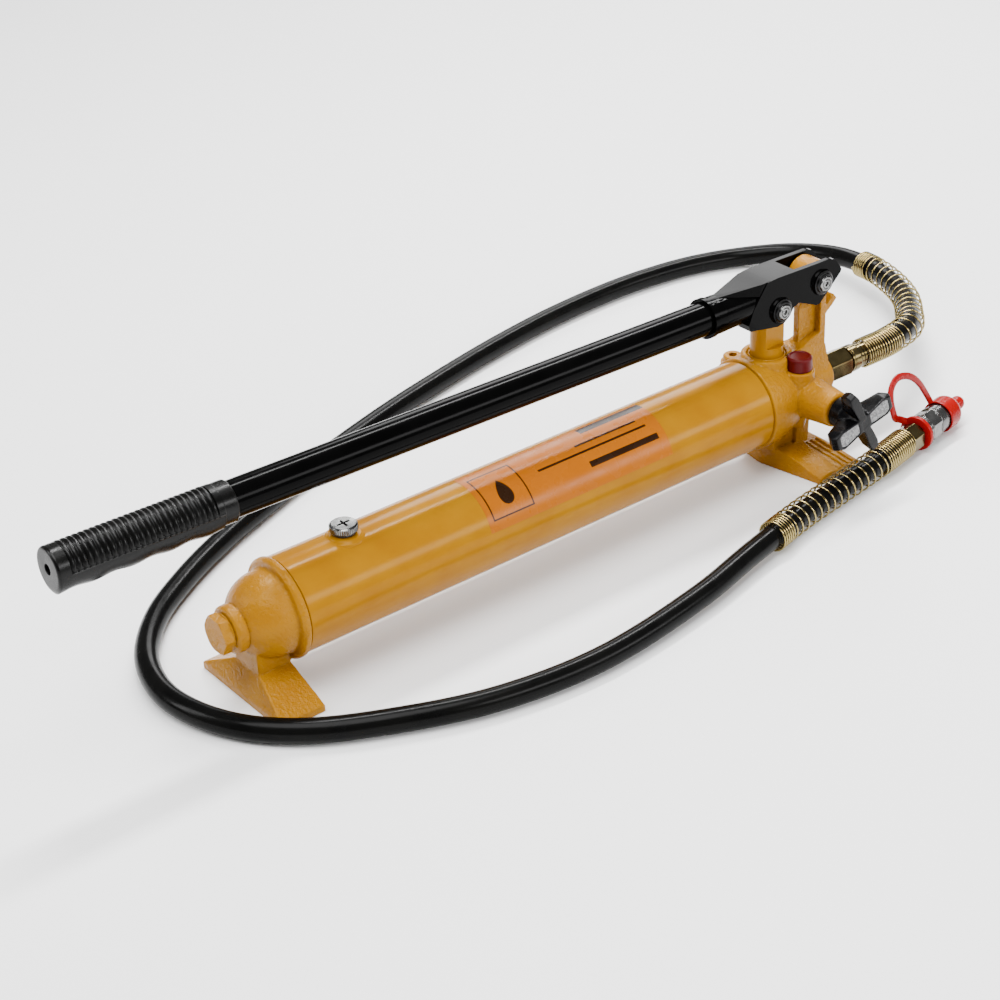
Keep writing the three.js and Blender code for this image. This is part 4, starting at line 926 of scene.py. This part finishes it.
# ---------------------------------------------------------------- pump head
def head_body():
    collar = place(
        lathe(
            [
                (-12, 0), (-12, 26.5), (0.3, 26.5), (0.3, 30.6), (0.9, 31.5), (9, 31.4), (17, 30.4),
                (25, 28.4),
                (33, 25.4), (42, 21.8), (51, 19.5), (53, 0),
            ],
            segments=128,
        ),
        stand((HEAD_SEAM_X + 0.3, 0, AXIS_Z), (1, 0, 0)),
    )
    plunger_boss = place(
        lathe([(0, 0), (0, 20), (16, 18.2), (31.4, BOSS_RADIUS), (32.2, BOSS_RADIUS - 0.8), (32.2, 0)]),
        stand((PLUNGER_X, 0, BOSS_TOP - 32.2), (0, 0, 1)),
    )
    outlet_boss = place(
        lathe([(0, 0), (0, 18), (20, 14.6), (31.2, OUTLET_RADIUS), (32, OUTLET_RADIUS - 0.8), (32, 0)]),
        stand((0, 0, AXIS_Z), (1, 0, 0)),
    )
    release_boss = place(
        lathe([(0, 0), (0, 17.5), (12, 14.9), (41.8, 11.8), (43, 10.8), (43, 0)]),
        stand((RELEASE_X, -8, RELEASE_Z), (0, -1, 0)),
    )
    safety_boss = place(
        lathe([(0, 0), (0, 4.5), (26, 9.6), (41.4, 10.2), (42, 9.4), (42, 0)]),
        stand((SAFETY_X, SAFETY_Y, 30), (0, 0, 1)),
    )
    shoulder = hull(
        both(12.5, [(-12, 52), (30, 52)]) + both(8.5, [(-8, 76)]) + both(7.4, [(29, 74)]) + both(8, [(6, 79)])
    )
    far_pad = rod((PAD_X, PAD_Y, 50), (PAD_X, PAD_Y, PAD_TOP), 8.2)
    return [collar, plunger_boss, outlet_boss, release_boss, safety_boss, shoulder, far_pad]


def head_post():
    x, z = FULCRUM.x, FULCRUM.z
    web = block((7.8, -2.4, 74), (24.5, 2.4, z))
    flange = block((23, -7.2, 66), (28.4, 7.2, 107))
    flange_top = hull(both(7.2, [(23, 106), (28.4, 106), (x + 4, z - 6), (x + 10, z - 6)]))
    web_foot = hull(both(7.2, [(2, 74), (28.4, 70), (26, 85), (2.5, 77)]) + both(2.4, [(8, 80.5)]))
    nose = hull(both(7.2, [(27, 95), (34, 100.5), (38.4, 104.6), (35.4, 108.2), (27, 101)]))
    lug = rod((x, -7.6, z), (x, 7.6, z), 13, 96)
    lug_neck = hull(
        both(2.4, [(7.8, 104), (24.5, 104)])
        + both(7.6, [(x - 9.5, z - 8), (x + 9.5, z - 8), (x - 11, z - 5), (x + 11, z - 5)])
    )
    return [web, flange, flange_top, web_foot, nose, lug, lug_neck]


def head_foot():
    shapes = []
    for side in (-1, 1):
        places = [
            (-6, 4, 12), (8, 4, 12), (-5, 15.5, 12), (7, 15.5, 12), (-5, 17, 44), (7, 17, 44),
            (-6, 4, 46), (8, 4, 46)
        ]
        shapes.append(hull([(x, side * y, z) for x, y, z in places]))
    shapes.append(hull(both(11.5, [(-21, 10), (6, 10)]) + both(17, [(-28, 34)]) + both(12, [(6, 34)])))
    wide = FOOT_HALF_WIDTH
    edge = FOOT_EDGE
    shapes.append(
        hull(
            both(3, [(-23.5, 0), (-23.5, edge)])
            + both(wide - 1, [(-15.5, 0), (-15.5, edge)])
            + both(wide, [(-14, 0), (-14, edge), (2, 0), (-4, edge + 2), (2, edge)])
            + both(15.5, [(-20, 15), (2, 13.5)])
        )
    )
    shapes.append(
        hull(
            both(10, [(25, 0), (25, edge)])
            + both(wide, [(21.5, 0), (21.5, edge), (-4, 0), (-4, edge)])
            + both(15, [(-4, 8.5), (22, 7)])
        )
    )
    for x in (4.5, 9, 13.5, 18):
        for side in (-1, 1):
            corners = [(12, 4), (12, 9.4), (wide - 2, 4), (wide - 2, edge + 1.4)]
            shapes.append(hull([(x + dx, side * y, z) for dx in (-1.1, 1.1) for y, z in corners]))
    return shapes


def pump_head():
    cuts = [
        rod((SAFETY_X, SAFETY_Y, SAFETY_TOP), (SAFETY_X, SAFETY_Y, BOSS_TOP + 1), 9, 64),
        rod((PAD_X, PAD_Y, PAD_TOP), (PAD_X, PAD_Y, BOSS_TOP + 1), 7.4, 64),
        rod((PLUNGER_X, 0, 60), (PLUNGER_X, 0, BOSS_TOP + 1), PLUNGER_RADIUS + 0.5, 64),
        rod((PLUNGER_X, 0, BOSS_TOP - 4.5), (PLUNGER_X, 0, BOSS_TOP + 1), 12.9, 64),
        rod((FULCRUM.x, -10, FULCRUM.z), (FULCRUM.x, 10, FULCRUM.z), PIN_RADIUS + 0.4, 48),
        block((-11, -FOOT_HALF_WIDTH + 7, -1), (17, -8, 1.5)),
        block((-11, 8, -1), (17, FOOT_HALF_WIDTH - 7, 1.5)),
    ]
    item = cast("pump_head_casting", head_body() + head_post() + head_foot(), cuts, 0.6, 6)
    finish_piece(item, "base", "cast_yellow_paint", cast_paint, "pump_head", angle=180)


def head_fittings():
    wiper = turned([(0, 11.3), (0, 12.6), (2.9, 12.6), (3.6, 11.9), (3.6, 11.3)], 0.4, closed=True)
    item = build("plunger_wiper_ring", place(wiper, stand((PLUNGER_X, 0, BOSS_TOP - 4), (0, 0, 1))))
    finish_piece(item, "base", "cast_yellow_paint", cast_paint, "plunger_wiper")

    cap = turned(
        [(0, 0), (0, 8.4), (0.4, 8.6), (8.2, 8.3), (9.4, 7.4), (9.4, 6.6), (8.8, 6.2), (8.8, 0)],
        0.5,
    )
    item = build("safety_cap_cover", place(cap, stand((SAFETY_X, SAFETY_Y, SAFETY_TOP + 0.3), (0, 0, 1))))
    finish_piece(item, "base", "dark_red_plastic", dark_red_plastic, "safety_cap")

    head = turned([(-10, 0), (-10, 4.3), (0.4, 4.3), (0.4, 6.6), (3.4, 6.6), (4.1, 5.9), (4.1, 0)], 0.3)
    socket = lathe([(1.3, 3), (9, 3)], segments=6)
    item = united("gallery_plug_head", [head], [socket])
    item.data.transform(Matrix.Translation(Vector((PAD_X, PAD_Y, PAD_TOP)) * MM))
    finish_piece(item, "base", "cast_yellow_paint", cast_paint, "gallery_plug", angle=30)

    washer = turned([(0.3, 5.6), (0.3, 9.6), (1.5, 9.6), (1.5, 5.6)], 0.4, closed=True)
    item = build("outlet_washer_ring", place(washer, stand((OUTLET_FACE_X, 0, AXIS_Z), (1, 0, 0))))
    finish_piece(item, "base", "copper", copper, "outlet_washer")

    start = OUTLET_FACE_X + WASHER_ROOM
    groove = [(24, 7.4), (24, 9.4), (25.4, 9.4), (25.5, 9), (26, 9), (26.1, 9.4)]
    neck = [(19, 0), (19, 7.4)]
    neck += [(along - WASHER_ROOM, radius) for along, radius in groove]
    neck += [(29.2, 9.4), (30.4, 8.6), (33.2, 8.6), (33.2, 7.8), (28, 7.8), (28, 0)]
    adapter = join(
        turned([(-9, 0), (-9, 5.2), (1, 5.2), (1, 0)], 0.2),
        hexagon(19, 0, 20.2),
        turned(neck, 0.25),
    )
    item = build("outlet_adapter_hex", place(adapter, stand((start, 0, AXIS_Z), (1, 0, 0), 30)))
    finish_piece(item, "base", "yellow_zinc", yellow_zinc, "outlet_adapter", angle=30)


def release_knob():
    hub = place(
        turned([(0, 0), (0, 10.4), (9, 10.6), (10.5, 9.4), (15, 8), (21, 7.6), (23.5, 6), (23.5, 0)], 1.0),
        stand((0, 0, 0), (0, -1, 0)),
    )
    reach = 27
    shapes = [hub]
    cuts = []
    pads = []
    for angle in WING_ANGLES:
        turn = Matrix.Rotation(math.radians(angle), 4, "Y")
        wide = 1 if angle in PAD_WING_ANGLES else 0.55
        corners = [
            (side * half * wide, y, z)
            for side in (-1, 1)
            for half, y, z in (
                (4.2, -8, 3), (4, -9, 9), (4.8, -13.5, reach - 3), (6.4, -16, reach - 6),
                (4.6, -19.6, reach), (7, -23.4, reach - 7), (4.6, -23.2, reach - 2), (5, -23.6, 3),
            )
        ]
        shapes.append(place(hull(corners), turn))
        if angle in PAD_WING_ANGLES:
            sizes = ((3.5, 5.4), (4.2, 8), (5.3, 18), (4.9, 20), (3.6, 22))
            pad = [(side * half, y, z) for side in (-1, 1) for half, z in sizes for y in (-22.8, -25)]
            cuts.append(place(hull(pad), turn))
            shown = [
                (side * (half - 0.1), y, z)
                for side in (-1, 1) for half, z in sizes for y in (-22.4, -23.15)
            ]
            pads.append(place(hull(shown), turn))
    origin = Vector((RELEASE_X, RELEASE_FACE_Y - 1, RELEASE_Z)) * MM
    item = cast("release_knob_moulding", shapes, cuts, 0.35, 11)
    item.data.transform(Matrix.Translation(origin))
    finish_piece(item, "release_valve", "black_plastic", black_plastic, "release_knob", angle=180)
    for number, pad in enumerate(pads, 1):
        item = crisp(build("release_knob_pad_%d" % number, pad), 0.25)
        item.data.transform(Matrix.Translation(origin))
        finish_piece(item, "release_valve", "black_plastic", pad_plastic)


# ---------------------------------------------------------------- lever and plunger
LEVER = Matrix.Translation(FULCRUM * MM) @ Matrix.Rotation(LEVER_TILT, 4, "Y")


def lever_bracket():
    ears = plate(EAR_OUTLINE, -EAR_OUTER, EAR_OUTER)
    socket = rod((SOCKET_END, 0, HANDLE_Z), (-83, 0, HANDLE_Z), 12.6, 96)
    neck = rod((-84, 0, HANDLE_Z), (-56, 0, HANDLE_Z), 12.6, 96, 11.6)
    lip = rod((SOCKET_END, 0, HANDLE_Z), (SOCKET_END + 3.5, 0, HANDLE_Z), 13.3, 96)
    taper = hull(both(2.5, [(-84, 10.6)]) + both(11.4, [(-53, 13.8), (-46, 14.2), (-56, 6), (-46, 6)]))
    collars = [
        rod((x, side * (EAR_OUTER - 0.5), z), (x, side * (EAR_OUTER + 1.2), z), 9.2, 96, 8.4)
        for x, z in PIN_PLACES.values() for side in (-1, 1)
    ]
    cuts = [
        block((-61, -EAR_INNER, -30), (30, EAR_INNER, 11.2)),
        block((-23, -EAR_INNER, 5), (30, EAR_INNER, 20)),
        rod((SOCKET_END - 5, 0, HANDLE_Z), (-66, 0, HANDLE_Z), HANDLE_RADIUS + 0.3, 96),
    ]
    cuts += [rod((x, -20, z), (x, 20, z), PIN_RADIUS + 0.3, 64) for x, z in PIN_PLACES.values()]
    item = crisp(united("handle_bracket_weldment", [ears, socket, neck, lip, taper, *collars], cuts), 0.5)
    item.data.transform(LEVER)
    finish_piece(item, "lever", "black_paint", black_paint, "handle_bracket", angle=32)


def lever_tube():
    length = -67 - (GRIP_END + 4)
    tube = turned([(0, 9.2), (0, 11), (length, 11), (length, 9.2)], 0.4, closed=True, segments=128)
    item = build("handle_tube_paint", place(tube, stand((GRIP_END + 4, 0, HANDLE_Z), (1, 0, 0))))
    item.data.transform(LEVER)
    finish_piece(item, "lever", "black_paint", black_paint, "handle_tube")


def lever_grip():
    """The moulded grip: ribs over its upper half, four finger waves under it, a seam along each side."""
    around = 128
    rib_start, rib_end, ribs = 8, 98, 26
    wave = 23.5

    def radius_at(angle, along):
        up = math.sin(angle)
        from_mouth = GRIP_LENGTH - along
        outer = 12.75
        if rib_start < along < rib_end and up > 0.02:
            phase = (along - rib_start) / (rib_end - rib_start) * ribs * 2 * math.pi
            ridge = 0.5 - 0.5 * math.cos(phase)
            fade = min(1, (up - 0.02) / 0.1)
            outer += fade * (-0.75 + 0.98 * ridge ** 0.5)
        if up < 0:
            fade = min(1, max(0, (from_mouth - 2) / 6)) * min(1, along / 2 + 0.3)
            depth = 1.5 - 0.62 * math.cos((from_mouth - 6) / wave * 2 * math.pi)
            outer += fade * depth * (-up) ** 1.6
        if along > GRIP_LENGTH - 9:
            outer = min(outer, 12.5)
        if abs(up) < 0.02 and rib_start < along < GRIP_LENGTH - 9:
            outer += 0.42
        return outer

    loops = []

    def loop_at(along, radius=None, inset=0.0):
        loop = []
        for i in range(around):
            angle = 2 * math.pi * i / around
            here = radius if radius is not None else radius_at(angle, along) - inset
            loop.append((along, here * math.cos(angle), here * math.sin(angle)))
        loops.append(loop)

    loop_at(4, 3.1)
    loop_at(0.3, 3.1)
    loop_at(0, 3.4)
    loop_at(0, inset=2)
    for along, inset in ((0.1, 1.2), (0.4, 0.6), (0.9, 0.2)):
        loop_at(along, inset=inset)
    steps = 400
    for i in range(steps + 1):
        loop_at(1.5 + (GRIP_LENGTH - 2.1) * i / steps)
    loop_at(GRIP_LENGTH - 0.2, inset=0.2)
    loop_at(GRIP_LENGTH, inset=0.6)
    loop_at(GRIP_LENGTH, 11.4)
    loop_at(4, 11.4)
    item = build(
        "handle_grip_rubber", place(skin(loops, closed=True), Matrix.Translation((GRIP_END, 0, HANDLE_Z)))
    )
    item.data.transform(LEVER)
    finish_piece(item, "lever", "grip_rubber", grip_rubber, "handle_grip", angle=60)


def lever_pins():
    end = 2 * PIN_END
    half = [
        (2.2, 0.01), (1.4, 1.2), (0, 1.6), (0, 2.7), (0.6, 3), (0.6, 3.3), (0, 3.6), (0, 4.5),
        (0.5, 5.1), (2.2, 5.2),
        (2.2, 5.6),
    ]
    profile = half + [(end - along, radius) for along, radius in reversed(half)]
    clip = [
        (0, PIN_RADIUS + 0.1), (0, 8.2), (0.8, 8.2), (1, 7.1), (1.6, 7.1), (2.2, 6.6), (2.4, 5.4), (1, 5.4),
        (1, PIN_RADIUS + 0.1),
    ]
    for name, (x, z) in PIN_PLACES.items():
        item = build(
            name + "_pin_steel", place(turned(profile, 0.15), stand((x, PIN_END, z), (0, -1, 0)))
        )
        item.data.transform(LEVER)
        finish_piece(item, "lever", "bright_steel", bright_steel, name + "_pin")
        for place_name, side in (("near", -1), ("far", 1)):
            start = side * (EAR_OUTER + 1.5)
            ring = place(
                turned(clip, 0.2, closed=True), stand((x, start, z), (0, side, 0))
            )
            item = build("%s_clip_%s_ring" % (name, place_name), ring)
            item.data.transform(LEVER)
            finish_piece(item, "lever", "dark_steel", dark_steel, "%s_clip_%s" % (name, place_name))


def plunger_piece():
    x, z = PIN_PLACES["plunger"]
    pin_z = FULCRUM.z - x * math.sin(LEVER_TILT) + z * math.cos(LEVER_TILT)
    foot = 52.5
    stem = place(
        lathe([(0, 0), (0, 9.6), (1.4, PLUNGER_RADIUS), (pin_z - foot, PLUNGER_RADIUS), (pin_z - foot, 0)]),
        stand((PLUNGER_X, 0, foot), (0, 0, 1)),
    )
    round_end = rod((PLUNGER_X, -10, pin_z), (PLUNGER_X, 10, pin_z), PLUNGER_RADIUS - 0.4, 96)
    cuts = [block((PLUNGER_X - 14, -14, 88), (PLUNGER_X + 14, -7.5, pin_z + 14))]
    cuts.append(block((PLUNGER_X - 14, 7.5, 88), (PLUNGER_X + 14, 14, pin_z + 14)))
    ring = [i * math.pi / 24 for i in range(48)]
    radius = PIN_RADIUS + 0.3
    slot = [
        (PLUNGER_X + math.copysign(1.5, math.cos(a)) + radius * math.cos(a), y, pin_z + radius * math.sin(a))
        for a in ring for y in (-12, 12)
    ]
    cuts.append(hull(slot))
    item = crisp(united("plunger_ram", [stem, round_end], cuts), 0.4)
    finish_piece(item, "plunger", "yellow_paint", tube_paint, "plunger", angle=32)


# ---------------------------------------------------------------- label
def label():
    """A thin print round the reservoir. Its marks are plain blocks and bars."""
    start_x, end_x = -271, -127
    low, high = math.radians(-74), math.radians(14)
    radius = TUBE_RADIUS + 0.14
    rows, columns = 60, 72
    outer, inner = [], []
    for row in range(rows + 1):
        angle = low + (high - low) * row / rows
        for line, here in ((outer, radius), (inner, radius - 0.1)):
            line.append([
                (
                    start_x + (end_x - start_x) * i / columns, here * math.sin(angle),
                    AXIS_Z + here * math.cos(angle)
                )
                for i in range(columns + 1)
            ])
    loops = [top + list(reversed(under)) for top, under in zip(outer, inner)]
    item = build("reservoir_label", skin(loops))
    made = Nodes("label_print")
    parts = made.add("SeparateXYZ", {"Vector": made.place})
    x = made.maths("MULTIPLY", parts.outputs["X"], 1000.0)
    height = made.maths("SUBTRACT", made.maths("MULTIPLY", parts.outputs["Z"], 1000.0), AXIS_Z)
    across = made.maths("ARCTAN2", made.maths("MULTIPLY", parts.outputs["Y"], 1000.0), height)
    turn = made.maths("MULTIPLY", across, 180 / math.pi)
    paper = made.mix(made.noise(30, 3), linear(150, 79, 0), linear(160, 88, 0))
    ink = linear(12, 8, 5)

    def box_mask(x0, x1, a0, a1):
        return made.maths("MULTIPLY", made.band(x, x0, x1, 0.15), made.band(turn, a0, a1, 0.3))

    outline = made.maths("SUBTRACT", box_mask(-267, -236, -62, 0), box_mask(-266, -237, -60.1, -1.9))
    top_bar = box_mask(-178, -127, -1, 11)
    fall = made.between(turn, 0, 1, -16, -50)
    drop_width = made.maths(
        "MULTIPLY",
        made.maths("MULTIPLY", fall, made.maths("SQRT", made.maths("SUBTRACT", 1.0, fall))), 13.5
    )
    off = made.maths("ABSOLUTE", made.maths("ADD", x, 251.5))
    drop = made.between(made.maths("SUBTRACT", drop_width, off), 0, 1, 0, 0.3)
    marks = [outline, top_bar, drop]
    for x0, x1, angle, half in ((-190, -141, -17, 1.3), (-223, -137, -28, 1.3), (-188, -133, -46, 3.6)):
        marks.append(box_mask(x0, x1, angle - half, angle + half))
    total = marks[0]
    for mark in marks[1:]:
        total = made.maths("MAXIMUM", total, mark)
    made.link("Base Color", made.mix(made.maths("MULTIPLY", total, 0.96), paper, ink))
    made.link("Roughness", made.between(made.noise(12, 3), 0.2, 0.34, 0.3, 0.7))
    made.link("Specular IOR Level", 0.14)
    finish_piece(item, "base", "yellow_paint", made.material)


reservoir()
rear_end()
pump_head()
head_fittings()
release_knob()
lever_bracket()
lever_tube()
lever_grip()
lever_pins()
plunger_piece()
label()

# ---------------------------------------------------------------- CAD nodes that stay
SLOT_MATERIALS = {
    "yellow_paint": tube_paint,
    "cast_yellow_paint": cast_paint,
    "black_paint": black_paint,
    "grip_rubber": grip_rubber,
    "hose_rubber": hose_rubber,
    "seal_rubber": seal_rubber,
    "black_plastic": black_plastic,
    "red_plastic": red_plastic,
    "dark_red_plastic": dark_red_plastic,
    "bright_steel": bright_steel,
    "dark_steel": dark_steel,
    "yellow_zinc": yellow_zinc,
    "brass_mesh": brass_mesh,
    "copper": copper,
}
for entry in frame["record"]["subparts"]:
    data = frame["nodes"][entry["node"]].data
    data.materials.clear()
    data.materials.append(SLOT_MATERIALS[entry["material_slot"]])
